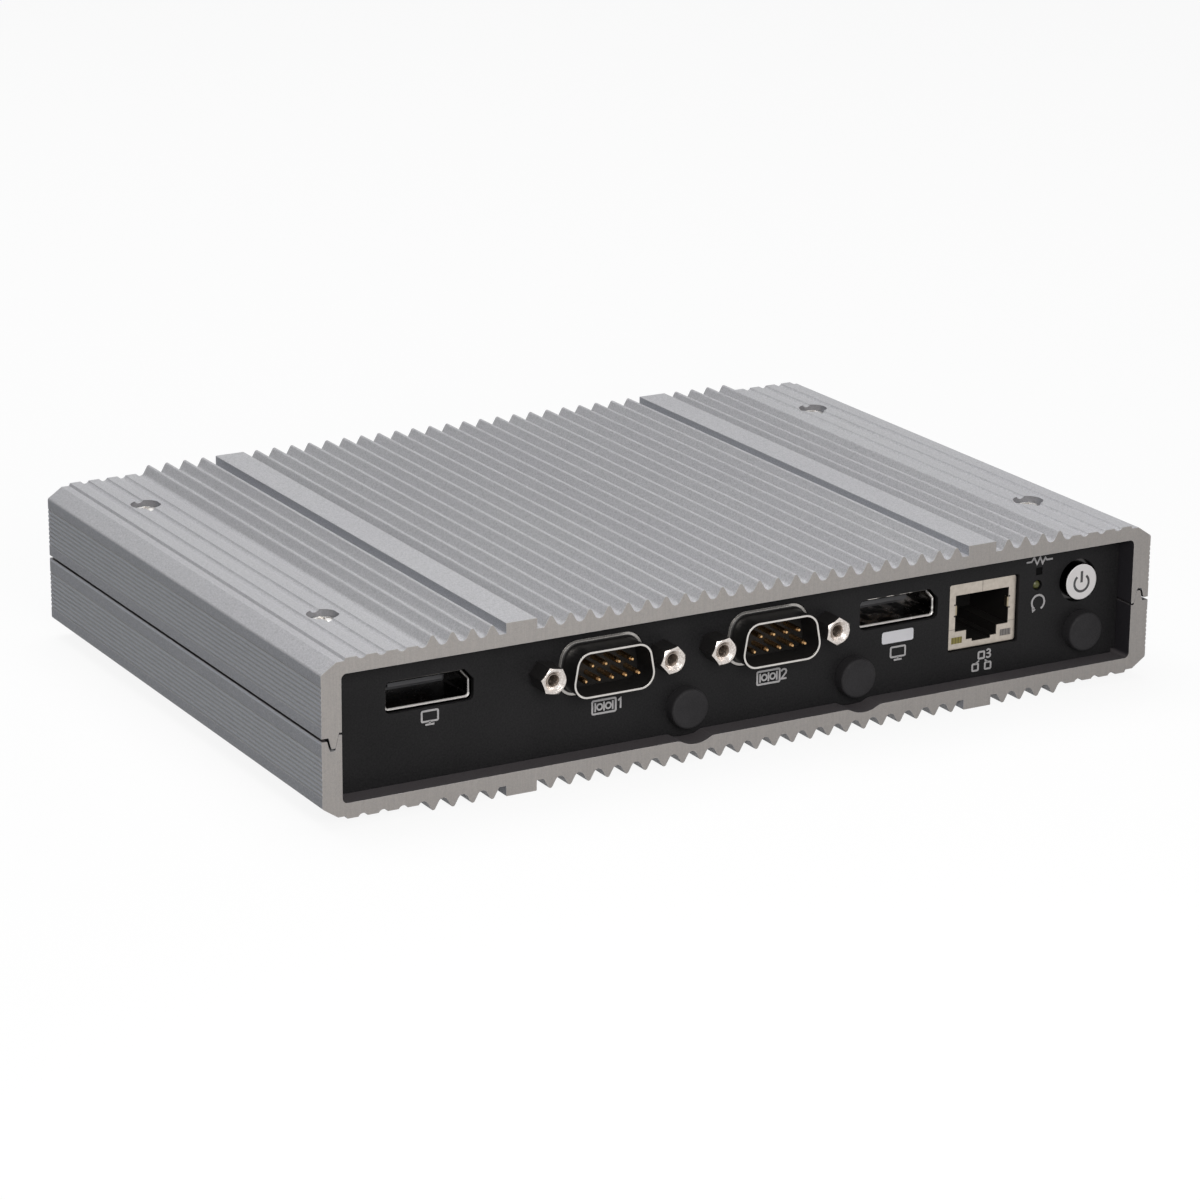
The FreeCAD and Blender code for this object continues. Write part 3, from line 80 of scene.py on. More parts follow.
class Shade:
    """A node material with short calls for the nodes it uses."""

    def __init__(self, name):
        self.material = bpy.data.materials.new(name)
        self.material.use_nodes = True
        self.tree = self.material.node_tree
        self.tree.nodes.clear()
        self.out = self.tree.nodes.new("ShaderNodeOutputMaterial")
        self.bsdf = self.tree.nodes.new("ShaderNodeBsdfPrincipled")
        self.tree.links.new(self.bsdf.outputs[0], self.out.inputs[0])
        coordinate = self.tree.nodes.new("ShaderNodeTexCoord")
        self.place = coordinate.outputs["Object"]
        self.facing = coordinate.outputs["Normal"]

    def set(self, **values):
        for name, value in values.items():
            self.bsdf.inputs[name.replace("_", " ")].default_value = value

    def link(self, source, socket):
        self.tree.links.new(source, self.bsdf.inputs[socket])

    def node(self, kind, **settings):
        made = self.tree.nodes.new(kind)
        for name, value in settings.items():
            setattr(made, name, value)
        return made

    def feed(self, socket, value):
        if hasattr(value, "links"):
            self.tree.links.new(value, socket)
        else:
            socket.default_value = value

    def math(self, operation, a, b=0.0):
        made = self.node("ShaderNodeMath", operation=operation)
        self.feed(made.inputs[0], a)
        self.feed(made.inputs[1], b)
        return made.outputs[0]

    def plus(self, a, b):
        return self.math("ADD", a, b)

    def less(self, a, b):
        return self.math("SUBTRACT", a, b)

    def times(self, a, b):
        return self.math("MULTIPLY", a, b)

    def most(self, a, b):
        return self.math("MAXIMUM", a, b)

    def size(self, value):
        return self.math("ABSOLUTE", value)

    def axes(self, vector):
        made = self.node("ShaderNodeSeparateXYZ")
        self.feed(made.inputs[0], vector)
        return made.outputs

    def stretched(self, x, y, z, turn=0.0):
        """Object place scaled so that one unit is x, y and z millimetres."""
        made = self.node("ShaderNodeMapping")
        made.inputs["Scale"].default_value = (1.0 / (x * MM), 1.0 / (y * MM), 1.0 / (z * MM))
        made.inputs["Rotation"].default_value = (0.0, 0.0, turn)
        self.feed(made.inputs["Vector"], self.place)
        return made.outputs[0]

    def noise(self, where, detail, rough):
        made = self.node("ShaderNodeTexNoise")
        self.feed(made.inputs["Vector"], where)
        made.inputs["Scale"].default_value = 1.0
        made.inputs["Detail"].default_value = detail
        made.inputs["Roughness"].default_value = rough
        return made.outputs["Fac"]

    def spread(self, value, low, high, to_low=0.0, to_high=1.0):
        made = self.node("ShaderNodeMapRange")
        self.feed(made.inputs["Value"], value)
        for socket, number in zip(list(made.inputs)[1:5], (low, high, to_low, to_high)):
            socket.default_value = number
        return made.outputs[0]

    def mix(self, factor, a, b):
        made = self.node("ShaderNodeMix", data_type="RGBA")
        self.feed(made.inputs[0], factor)
        self.feed(made.inputs[6], a)
        self.feed(made.inputs[7], b)
        return made.outputs[2]

    def blend(self, factor, a, b):
        made = self.node("ShaderNodeMix", data_type="FLOAT")
        self.feed(made.inputs[0], factor)
        self.feed(made.inputs[2], a)
        self.feed(made.inputs[3], b)
        return made.outputs[0]

    def tones(self, value, a, b):
        """Colour that wanders between a and b with a noise."""
        return self.mix(self.spread(value, 0.3, 0.7), a, b)

    def within(self, value, full, none):
        """1 up to the first place and 0 from the second, both in millimetres."""
        return self.spread(value, full * MM, none * MM, 1.0, 0.0)

    def beyond(self, value, none, full):
        """0 up to the first place and 1 from the second, both in millimetres."""
        return self.spread(value, none * MM, full * MM)

    def band(self, value, low, high, soft):
        """1 between low and high, with soft edges, all in millimetres."""
        up = self.beyond(value, low - soft, low + soft)
        down = self.within(value, high - soft, high + soft)
        return self.times(up, down)

    def distance(self, a, a_middle, b, b_middle):
        """Distance in the plane of a and b from a middle given in millimetres."""
        one = self.math("POWER", self.less(a, a_middle * MM), 2.0)
        other = self.math("POWER", self.less(b, b_middle * MM), 2.0)
        return self.math("SQRT", self.plus(one, other))

    def bump(self, height, distance, strength, normal=None):
        made = self.node("ShaderNodeBump")
        made.inputs["Strength"].default_value = strength
        made.inputs["Distance"].default_value = distance * MM
        self.feed(made.inputs["Height"], height)
        if normal is not None:
            self.feed(made.inputs["Normal"], normal)
        return made.outputs[0]

    def rounded(self, radius):
        """Normal of slightly broken edges."""
        made = self.node("ShaderNodeBevel", samples=6)
        made.inputs["Radius"].default_value = radius * MM
        return made.outputs[0]

    def edge_wear(self, radius):
        """1 along the edges, where a bevelled normal leaves the true one."""
        true = self.node("ShaderNodeNewGeometry").outputs["True Normal"]
        apart = self.node("ShaderNodeVectorMath", operation="DOT_PRODUCT")
        self.feed(apart.inputs[0], self.rounded(radius))
        self.feed(apart.inputs[1], true)
        return self.spread(apart.outputs["Value"], 0.995, 0.90)


# ---------------------------------------------------------------- materials
def inside_recess(s, x, z, level):
    """1 in the panel recesses, the antenna troughs and the joint, where the housing is painted."""
    inside_x = s.within(s.size(x), wall_inside + 0.05, wall_inside + 0.12)
    inside_z = s.within(level, recess_reach + 0.05, recess_reach + 0.12)
    inside = s.times(inside_x, inside_z)
    for column, centre in trough_places:
        reach = s.distance(x, column, z, centre)
        inside = s.most(inside, s.within(reach, trough_radius - 0.05, trough_radius + 0.05))
    across = s.band(s.size(x), wall_inside - 0.05, wall_outside - 0.12, 0.02)
    joint = s.band(s.less(z, mid_z * MM), joint_low, joint_high, 0.02)
    return s.most(inside, s.times(across, joint))


def wall_line_shade_and_highlights(s, colour, z, level, wall):
    """Painted shade in the drawn lines of the side walls, painted highlights on the crests between them, and
    a painted highlight on the lip under the joint.
    """
    turn = s.math("FRACT", s.math("DIVIDE", s.less(level, groove_first * MM), groove_pitch * MM))
    ridge = s.times(s.size(s.less(turn, 0.5)), 2.0)
    lined = s.band(level, groove_first - 0.3, groove_first + groove_pitches * groove_pitch, 0.05)
    lined = s.times(lined, wall)
    # Painted shade darkens the grooves, and a painted highlight lightens the crests between them.
    groove = s.times(lined, s.spread(ridge, 0.55, 0.85, 0.0, 0.80))
    crest = s.times(lined, s.spread(ridge, 0.50, 0.30, 0.0, 0.50))
    colour = s.mix(groove, colour, rgb(0.16, 0.17, 0.20))
    colour = s.mix(crest, colour, rgb(0.64, 0.68, 0.76))
    # Painted highlight on the lip just under the joint.
    lip = s.band(s.less(z, mid_z * MM), -0.45, -0.08, 0.03)
    return s.mix(s.times(s.times(lip, wall), 0.6), colour, rgb(0.70, 0.73, 0.80))


def screw_pockets(s, x, y):
    """1 in the round pockets of the housing screws."""
    pocket = 0.0
    for column, row in screw_places:
        away = s.distance(x, column, y, row)
        pocket = s.most(pocket, s.within(away, pocket_radius - 0.05, pocket_radius + 0.05))
    return pocket


def housing_material():
    """Blasted aluminium with drawn streaks, sawn ends, and black paint inside the recesses, plus painted
    shade and painted highlights.
    """
    s = Shade("blasted_aluminium")
    x, y, z = s.axes(s.place)
    nx, ny, nz = s.axes(s.facing)
    grain = s.noise(s.stretched(0.16, 0.16, 0.16), 3.0, 0.6)
    coarse = s.noise(s.stretched(0.45, 0.45, 0.45), 2.0, 0.6)
    cloud = s.noise(s.stretched(22.0, 60.0, 22.0), 3.0, 0.5)
    streak = s.noise(s.stretched(0.5, 90.0, 0.5), 3.0, 0.65)
    saw = s.noise(s.stretched(0.35, 2.0, 9.0, 0.3), 2.0, 0.6)

    level = s.size(s.less(z, mid_z * MM))
    flat_end = s.spread(s.size(ny), 0.9, 0.98)
    at_end = s.beyond(s.size(y), abs(front_end) - 0.3, abs(front_end) - 0.1)
    sawn = s.times(flat_end, at_end)
    wall = s.spread(s.size(nx), 0.90, 0.98)
    paint = s.times(inside_recess(s, x, z, level), s.less(1.0, sawn))

    cool = s.tones(cloud, rgb(0.392, 0.388, 0.410), rgb(0.426, 0.426, 0.440))
    # Painted shade: the side walls are painted darker and bluer than the top and the ends.
    cool = s.mix(wall, cool, rgb(0.335, 0.352, 0.400))
    drawn = s.mix(s.spread(streak, 0.35, 0.75, 0.0, 0.30), cool, rgb(0.33, 0.333, 0.350))
    cut = s.tones(saw, rgb(0.380, 0.354, 0.336), rgb(0.424, 0.397, 0.378))
    metal = s.mix(sawn, drawn, cut)
    calm = s.spread(sawn, 0.0, 1.0, 1.0, 0.40)
    pitted = s.times(s.spread(coarse, 0.40, 0.68, 0.0, 0.60), calm)
    metal = s.mix(pitted, metal, rgb(0.24, 0.24, 0.25))
    bright = s.times(s.spread(grain, 0.44, 0.70, 0.0, 0.70), calm)
    metal = s.mix(bright, metal, rgb(0.66, 0.66, 0.67))
    # Edge wear: lighter bare metal along the edges of the housing.
    edge_wear_and_painted_highlight = s.times(s.edge_wear(0.18), s.spread(coarse, 0.3, 0.6, 0.10, 0.45))
    metal = s.mix(edge_wear_and_painted_highlight, metal, rgb(0.74, 0.74, 0.75))
    # Painted shade and painted highlights on the side walls' lines.
    metal = wall_line_shade_and_highlights(s, metal, z, level, wall)
    # Painted shade: the upright walls of the screw pockets are painted dark.
    upright = s.spread(s.size(nz), 0.3, 0.6, 0.62, 0.0)
    metal = s.mix(s.times(screw_pockets(s, x, y), upright), metal, rgb(0.11, 0.11, 0.12))

    # Black paint; faces turned up get a lighter black, painted light from above.
    deep = s.tones(grain, rgb(0.014, 0.013, 0.016), rgb(0.026, 0.024, 0.028))
    painted_lit_black = s.tones(grain, rgb(0.070, 0.064, 0.068), rgb(0.110, 0.101, 0.106))
    black = s.mix(s.spread(nz, 0.3, 0.8), deep, painted_lit_black)

    s.link(s.mix(paint, metal, black), "Base Color")
    rough = s.blend(sawn, s.spread(grain, 0.2, 0.8, 0.46, 0.60), s.spread(saw, 0.2, 0.8, 0.42, 0.56))
    s.link(s.blend(paint, rough, 0.55), "Roughness")
    s.link(s.spread(paint, 0.0, 1.0, 0.06, 0.0), "Metallic")
    s.set(Specular_IOR_Level=0.32)
    height = s.plus(s.times(grain, 0.6), s.times(streak, 0.4))
    s.link(s.bump(height, 0.02, 0.35, s.rounded(0.10)), "Normal")
    return s.material


def panel_material():
    """Fine textured black powder coat."""
    s = Shade("black_powder_coat")
    fine = s.noise(s.stretched(0.34, 0.34, 0.34), 3.0, 0.60)
    broad = s.noise(s.stretched(14.0, 14.0, 14.0), 2.0, 0.5)
    tone = s.plus(s.times(fine, 0.7), s.times(broad, 0.3))
    s.link(s.tones(tone, rgb(0.0030, 0.0030, 0.0034), rgb(0.0178, 0.0172, 0.0182)), "Base Color")
    s.link(s.spread(fine, 0.25, 0.75, 0.46, 0.66), "Roughness")
    s.set(Specular_IOR_Level=0.16)
    s.link(s.bump(fine, 0.09, 0.65, s.rounded(0.08)), "Normal")
    return s.material


def metal_material(name, light, dark, rough, bevel=0.06, brushed=(0.8, 0.8, 0.8)):
    """Plated or bare metal with fine unevenness and small scratches."""
    s = Shade(name)
    wear = s.noise(s.stretched(*brushed), 4.0, 0.6)
    scratch = s.noise(s.stretched(0.12, 2.5, 0.12, 0.5), 2.0, 0.7)
    s.link(s.tones(wear, rgb(*light), rgb(*dark)), "Base Color")
    s.link(s.spread(wear, 0.25, 0.75, *rough), "Roughness")
    s.set(Metallic=1.0)
    s.link(s.bump(scratch, 0.006, 0.4, s.rounded(bevel)), "Normal")
    return s.material


def plastic_material(name, light, dark, rough, grain=0.12, depth=0.01, specular=0.5, bevel=0.08):
    """Moulded plastic or rubber with a fine grain."""
    s = Shade(name)
    fine = s.noise(s.stretched(grain, grain, grain), 3.0, 0.55)
    broad = s.noise(s.stretched(6.0, 6.0, 6.0), 2.0, 0.5)
    s.link(s.tones(broad, rgb(*light), rgb(*dark)), "Base Color")
    s.link(s.spread(fine, 0.25, 0.75, *rough), "Roughness")
    s.set(Specular_IOR_Level=specular)
    s.link(s.bump(fine, depth, 0.5, s.rounded(bevel)), "Normal")
    return s.material


def ink_material(name, light, dark, rough):
    """Thin print, with hardly any grain and sharp edges."""
    return plastic_material(name, light, dark, rough, grain=0.15, depth=0.003, specular=0.4, bevel=0.02)


def window_material(name, middle, front):
    """Light windows of a network socket, green on its left and grey on its right."""
    s = Shade(name)
    x = s.axes(s.place)[0]
    ribs = s.node("ShaderNodeTexWave", wave_type="BANDS", bands_direction="X")
    s.feed(ribs.inputs["Vector"], s.place)
    ribs.inputs["Scale"].default_value = 480.0
    ribs.inputs["Distortion"].default_value = 1.5
    line = ribs.outputs["Fac"]
    side = s.less(x, middle) if front else s.less(middle, x)
    right = s.spread(side, -0.001, 0.001)
    green = s.mix(line, rgb(0.27, 0.23, 0.045), rgb(0.15, 0.12, 0.025))
    pale = s.mix(line, rgb(0.24, 0.22, 0.21), rgb(0.13, 0.12, 0.115))
    s.link(s.mix(right, green, pale), "Base Color")
    s.link(s.spread(line, 0.0, 1.0, 0.30, 0.42), "Roughness")
    s.link(s.bump(line, 0.03, 0.5), "Normal")
    return s.material


def cap_material(column, level):
    """White face of the power button, dark turned side and flange."""
    s = Shade("button_cap")
    x, _, z = s.axes(s.place)
    ny = s.axes(s.facing)[1]
    reach = s.distance(x, column, z, level)
    outer = s.beyond(reach, button_face_radius - 0.02, button_face_radius + 0.02)
    side = s.most(outer, s.spread(s.size(ny), 0.55, 0.75, 1.0, 0.0))
    broad = s.noise(s.stretched(5.0, 5.0, 5.0), 2.0, 0.5)
    turned = s.noise(s.stretched(30.0, 0.12, 30.0), 2.0, 0.6)
    white = s.tones(broad, rgb(0.86, 0.83, 0.84), rgb(0.90, 0.88, 0.89))
    metal = s.tones(turned, rgb(0.065, 0.062, 0.062), rgb(0.035, 0.034, 0.034))
    rough_white = s.spread(broad, 0.3, 0.7, 0.34, 0.44)
    rough_metal = s.spread(turned, 0.3, 0.7, 0.16, 0.28)
    s.link(s.mix(side, white, metal), "Base Color")
    s.link(side, "Metallic")
    s.link(s.blend(side, rough_white, rough_metal), "Roughness")
    s.link(s.bump(s.blend(side, broad, turned), 0.01, 0.4, s.rounded(0.12)), "Normal")
    return s.material


def jack_material():
    """Bright nickel on the ends of the hexagons, and a painted dark reflection on their flanks."""
    s = Shade("jack_nickel")
    ny = s.axes(s.facing)[1]
    wear = s.noise(s.stretched(0.35, 0.35, 0.35), 4.0, 0.65)
    rings = s.noise(s.stretched(8.0, 0.10, 8.0), 2.0, 0.6)
    plated = s.tones(wear, rgb(0.80, 0.75, 0.71), rgb(0.46, 0.41, 0.38))
    # Painted reflection: the flanks get a near black, non-metal colour for the dark things they mirror.
    dark_flank_reflection = s.spread(s.size(ny), 0.12, 0.35, 1.0, 0.0)
    s.link(s.mix(dark_flank_reflection, plated, rgb(0.013, 0.012, 0.012)), "Base Color")
    s.link(s.blend(dark_flank_reflection, s.spread(wear, 0.25, 0.75, 0.12, 0.30), 0.5), "Roughness")
    s.link(s.spread(dark_flank_reflection, 0.0, 1.0, 1.0, 0.0), "Metallic")
    s.link(s.bump(s.plus(s.times(rings, 0.5), wear), 0.05, 0.8, s.rounded(0.12)), "Normal")
    return s.material


def serial_shell_material():
    """Bright rims, and a band painted dark as a painted reflection where the shell leaves the panel."""
    s = Shade("serial_shell")
    y = s.axes(s.place)[1]
    ny = s.axes(s.facing)[1]
    wear = s.noise(s.stretched(0.8, 0.8, 0.8), 4.0, 0.6)
    plated = s.tones(wear, rgb(0.66, 0.63, 0.60), rgb(0.54, 0.515, 0.49))
    behind = s.beyond(y, serial_rim + 0.04, serial_rim + 0.12)
    collar = s.band(y, panel_face + 0.02, panel_face + 0.30, 0.02)
    bright = s.times(collar, s.spread(s.size(ny), 0.94, 0.99, 0.0, 0.7))
    # Painted reflection: behind the rim the shell is painted near black, save the front faces of the collar.
    dark_reflection_band = s.times(behind, s.less(1.0, bright))
    s.link(s.mix(dark_reflection_band, plated, rgb(0.020, 0.019, 0.019)), "Base Color")
    s.link(s.blend(dark_reflection_band, 1.0, 0.4), "Metallic")
    s.link(s.blend(dark_reflection_band, s.spread(wear, 0.25, 0.75, 0.16, 0.28), 0.42), "Roughness")
    s.link(s.rounded(0.06), "Normal")
    return s.material


def display_shell_material(name, reflection_level):
    """Screen shell in dark metal with painted reflection, and a painted highlight along its lower lip and
    its cut corner.
    """
    s = Shade(name)
    _, y, z = s.axes(s.place)
    nx = s.axes(s.facing)[0]
    wear = s.noise(s.stretched(0.8, 0.8, 0.8), 4.0, 0.6)
    plated = s.tones(wear, rgb(0.94, 0.91, 0.89), rgb(0.84, 0.81, 0.79))
    low = s.within(z, display_low + 0.75, display_low + 0.95)
    front = s.within(y, panel_face + 1.30, panel_face + 1.55)
    level = s.times(s.spread(nx, 0.25, 0.45, 1.0, 0.0), s.spread(nx, -0.45, -0.25))
    corner = s.less(1.0, level)
    # Painted highlight: the front of the lower lip, and less of the cut corner, keep the bright plated
    # colour.
    edge_wear_and_painted_highlight = s.times(front, s.most(low, s.times(corner, 0.45)))
    folds = s.noise(s.stretched(1.8, 3.5, 1.0), 1.0, 0.4)
    # Painted reflection: the rest wanders, in patches laid out by the folds noise, between near black and a
    # level given for each shell.
    painted_reflection = s.mix(s.spread(folds, 0.48, 0.62), grey(0.06, 0.05), grey(reflection_level, 0.06))
    s.link(s.mix(edge_wear_and_painted_highlight, painted_reflection, plated), "Base Color")
    s.link(s.spread(edge_wear_and_painted_highlight, 0.0, 1.0, 1.0, 0.35), "Metallic")
    s.link(s.spread(wear, 0.25, 0.75, 0.16, 0.30), "Roughness")
    s.link(s.rounded(0.06), "Normal")
    return s.material


def board_material():
    """Green solder mask with tracks just visible under it."""
    s = Shade("solder_mask")
    track = s.node("ShaderNodeTexVoronoi", feature="DISTANCE_TO_EDGE")
    s.feed(track.inputs["Vector"], s.stretched(3.0, 3.0, 3.0))
    track.inputs["Scale"].default_value = 1.0
    line = s.spread(track.outputs["Distance"], 0.03, 0.06, 1.0, 0.0)
    s.link(s.mix(line, rgb(0.010, 0.075, 0.030), rgb(0.022, 0.130, 0.050)), "Base Color")
    s.link(s.spread(line, 0.0, 1.0, 0.34, 0.28), "Roughness")
    s.link(s.bump(line, 0.03, 0.6), "Normal")
    return s.material


nickel = metal_material("nickel_plate", (0.62, 0.59, 0.56), (0.50, 0.475, 0.45), (0.16, 0.28))
shield_tin = metal_material("tinned_shield", (0.50, 0.45, 0.395), (0.42, 0.377, 0.328), (0.34, 0.48), 0.10)
finger_tin = metal_material("shield_finger", (0.42, 0.36, 0.26), (0.30, 0.25, 0.17), (0.34, 0.48), 0.10)
zinc = metal_material("zinc_plate", (0.66, 0.66, 0.67), (0.55, 0.55, 0.57), (0.22, 0.40))
thread_steel = metal_material("thread_steel", (0.34, 0.29, 0.25), (0.20, 0.17, 0.15), (0.26, 0.40))
gold = metal_material("gold_plate", (0.68, 0.43, 0.21), (0.50, 0.30, 0.14), (0.22, 0.36))
seam_grey = metal_material("shield_seam", (0.30, 0.27, 0.24), (0.20, 0.18, 0.16), (0.4, 0.55))
copper = metal_material(
    "brushed_copper", (0.78, 0.47, 0.34), (0.66, 0.38, 0.27), (0.26, 0.40), 0.1, (0.3, 12.0, 0.3))
screw_nickel = metal_material("screw_nickel", (0.84, 0.82, 0.80), (0.72, 0.70, 0.68), (0.20, 0.34), 0.12)

black_plastic = plastic_material(
    "black_moulding", (0.010, 0.010, 0.010), (0.018, 0.017, 0.017), (0.42, 0.56))
insulator_black = plastic_material(
    "insulator_black", (0.0045, 0.004, 0.004), (0.009, 0.008, 0.007), (0.45, 0.6), specular=0.3)
tongue_grey = plastic_material(
    "tongue_moulding", (0.075, 0.076, 0.082), (0.100, 0.101, 0.108), (0.38, 0.5), specular=0.4)
rubber = plastic_material(
    "black_rubber", (0.0185, 0.0175, 0.0190), (0.0285, 0.0275, 0.0295), (0.55, 0.85),
    grain=0.30, depth=0.09, specular=0.22, bevel=0.25)
olive = plastic_material("olive_plunger", (0.070, 0.072, 0.016), (0.105, 0.108, 0.026), (0.34, 0.5))
chip_black = plastic_material("chip_moulding", (0.014, 0.014, 0.015), (0.024, 0.024, 0.026), (0.5, 0.66))
pad_blue = plastic_material("thermal_pad", (0.10, 0.14, 0.22), (0.13, 0.17, 0.26), (0.7, 0.85))
status_window = plastic_material(
    "status_window", (0.0006, 0.0006, 0.0007), (0.0010, 0.0010, 0.0011), (0.4, 0.5),
    grain=0.2, depth=0.004, specular=0.05)

ink = ink_material("panel_ink", (0.45, 0.44, 0.45), (0.52, 0.51, 0.52), (0.5, 0.62))
field_ink = ink_material("field_ink", (0.74, 0.74, 0.78), (0.80, 0.80, 0.84), (0.5, 0.62))
button_ink = ink_material("button_ink", (0.060, 0.058, 0.062), (0.080, 0.078, 0.082), (0.4, 0.5))


def paint(names, material):
    """Give one material to every slot of the named nodes."""
    for name in names:
        for slot in nodes[name].material_slots:
            slot.material = material


paint(["housing_upper", "housing_lower"], housing_material())
paint(["front_panel", "rear_panel"], panel_material())
paint(["housing_screws"], screw_nickel)
paint(["serial_standoffs"], jack_material())
paint(["com1_shell", "com2_shell"], serial_shell_material())
# The two screen shells differ only in the level of painted reflection inside them.
paint(["display1_shell"], display_shell_material("display_shell_1", 0.10))
paint(["display2_shell"], display_shell_material("display_shell_2", 0.78))
paint(["usb1_shell", "usb2_shell", "power_socket_nut"], nickel)
paint(["lan1_shield", "lan2_shield", "lan3_shield"], shield_tin)
paint(["tie_posts", "board_standoffs", "board_screws", "storage_screw", "coin_cell"], zinc)
paint(["com1_pins", "com2_pins", "power_socket_pin"], gold)
paint([n for n in nodes if n.endswith("_contacts")], gold)
paint([n for n in nodes if n.endswith("_insert")], insulator_black)
paint([n for n in nodes if n.endswith("_insulator")], insulator_black)
paint(["display1_insert", "display2_insert"], tongue_grey)
paint(["power_socket_body", "memory_socket", "storage_socket"], black_plastic)
paint(["power_switch", "reset_switch"], black_plastic)
paint(["antenna_plug_1", "antenna_plug_2", "antenna_plug_3"], rubber)
button_low, button_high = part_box("power_button")
button_x = (button_low[0] + button_high[0]) / 2.0 / MM
button_z = (button_low[2] + button_high[2]) / 2.0 / MM
paint(["power_button"], cap_material(button_x, button_z))
paint(["reset_plunger"], olive)
paint(["main_board", "memory_module", "storage_card"], board_material())
paint(["processor", "supply_coils"], chip_black)
paint(["heat_spreader"], copper)
paint(["thermal_pad"], pad_blue)
paint(["status_light_pipe", "status_led"], status_window)
for name in ("lan1", "lan2", "lan3"):
    low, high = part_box(name + "_lights")
    windows = window_material(name + "_windows", (low[0] + high[0]) / 2.0, name == "lan3")
    paint([name + "_lights"], windows)


# ---------------------------------------------------------------- mesh tools
def add_piece(name, vertices, faces, material, body):
    """A closed mesh piece given in millimetres of the part's frame."""
    mesh = bpy.data.meshes.new(name)
    mesh.from_pydata([Vector(v) * MM for v in vertices], [], faces)
    mesh.validate()
    mesh.materials.append(material)
    piece = bpy.data.objects.new(name, mesh)
    bpy.context.scene.collection.objects.link(piece)
    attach(piece, body)


def slab(shape, y_front, y_back):
    """Vertices and faces of a thin closed slab from a flat shape of XZ points."""
    points, faces, border = shape
    count = len(points)
    vertices = [(x, y_front, z) for x, z in points] + [(x, y_back, z) for x, z in points]
    solid = [tuple(face) for face in faces]
    solid += [tuple(reversed([i + count for i in face])) for face in faces]
    solid += [(b, a, a + count, b + count) for a, b in border]
    return vertices, solid


def ribbon(path, width, closed):
    """Flat stroke along a path of XZ points, with mitred corners."""
    count = len(path)
    half = width / 2.0
    left = []
    right = []
    for i in range(count):
        here = Vector(path[i])
        before = Vector(path[i - 1]) if closed or i > 0 else None
        after = Vector(path[(i + 1) % count]) if closed or i < count - 1 else None
        go = (after - here).normalized() if after is not None else (here - before).normalized()
        come = (here - before).normalized() if before is not None else go
        normal_in = Vector((-come.y, come.x))
        normal_out = Vector((-go.y, go.x))
        bisector = (normal_in + normal_out).normalized()
        reach = half / max(0.35, bisector.dot(normal_out))
        left.append(here + bisector * reach)
        right.append(here - bisector * reach)
    points = [tuple(p) for p in left] + [tuple(p) for p in right]
    faces = []
    border = []
    last = count if closed else count - 1
    for i in range(last):
        j = (i + 1) % count
        faces.append((i, j, j + count, i + count))
        border.append((i, j))
        border.append((j + count, i + count))
    if not closed:
        border.append((count, 0))
        border.append((count - 1, 2 * count - 1))
    return points, faces, border


def line(*points, width):
    return ribbon(list(points), width, False)


def outline(path, width):
    return ribbon(path, width, True)


def disc(path):
    """The flat area inside a closed path."""
    count = len(path)
    return list(path), [tuple(range(count))], [(i, (i + 1) % count) for i in range(count)]


def ring(x, z, radius, start=0.0, end=360.0, steps=32):
    """Points of an arc or of a whole circle, from one angle in degrees to another."""
    full = abs(end - start) >= 360.0
    number = steps if full else steps + 1
    points = []
    for i in range(number):
        turn = math.radians(start + (end - start) * i / steps)
        points.append((x + radius * math.cos(turn), z + radius * math.sin(turn)))
    return points


def round_box(x, z, width, height, radius):
    """Points of a box with rounded corners."""
    steps = 5
    points = []
    for cx, cz, start in ((1, -1, -90), (1, 1, 0), (-1, 1, 90), (-1, -1, 180)):
        corner_x = x + cx * (width / 2.0 - radius)
        corner_z = z + cz * (height / 2.0 - radius)
        for i in range(steps + 1):
            turn = math.radians(start + 90.0 * i / steps)
            points.append((corner_x + radius * math.cos(turn), corner_z + radius * math.sin(turn)))
    return points


def turned(name, x, z, columns, material, body=RECORD_BODY):
    """Closed turned piece round an axis along Y, from one list of (radius, y) points for each step."""
    steps = len(columns)
    count = len(columns[0])
    vertices = []
    faces = []
    for i, column in enumerate(columns):
        turn = 2.0 * math.pi * i / steps
        for radius, y in column:
            vertices.append((x + radius * math.cos(turn), y, z + radius * math.sin(turn)))
    for i in range(steps):
        j = (i + 1) % steps
        for k in range(count):
            m = (k + 1) % count
            faces.append((i * count + k, i * count + m, j * count + m, j * count + k))
    add_piece(name, vertices, faces, material, body)


def middle(name):
    """Middle of a node in x and z, in millimetres."""
    low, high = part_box(name)
    return (low[0] + high[0]) / 2.0 / MM, (low[2] + high[2]) / 2.0 / MM


# ---------------------------------------------------------------- prints on the panels
GLYPHS = {
    "1": [(-0.45, 0.62), (0.12, 1.05), (0.12, -1.05)],
    "2": [(-0.62, 0.62), (-0.42, 0.93), (0.0, 1.05), (0.42, 0.93), (0.60, 0.58), (0.50, 0.20),
          (-0.62, -1.0), (0.66, -1.0)],
    "3": [(-0.58, 0.78), (-0.30, 1.0), (0.10, 1.04), (0.46, 0.86), (0.54, 0.52), (0.36, 0.20), (-0.08, 0.06),
          (0.40, -0.08), (0.62, -0.42), (0.52, -0.80), (0.14, -1.04), (-0.28, -1.02), (-0.62, -0.76)],
}
RESET_ARROW = [(-1.15, -4.55), (-1.0, -5.50), (-0.2, -4.95)]
PULSE = [(-3.1, 2.75), (-1.9, 2.75), (-1.35, 3.55), (-0.6, 2.15), (0.1, 3.45), (0.7, 2.15), (1.3, 3.2),
         (1.7, 2.75), (3.1, 2.75)]


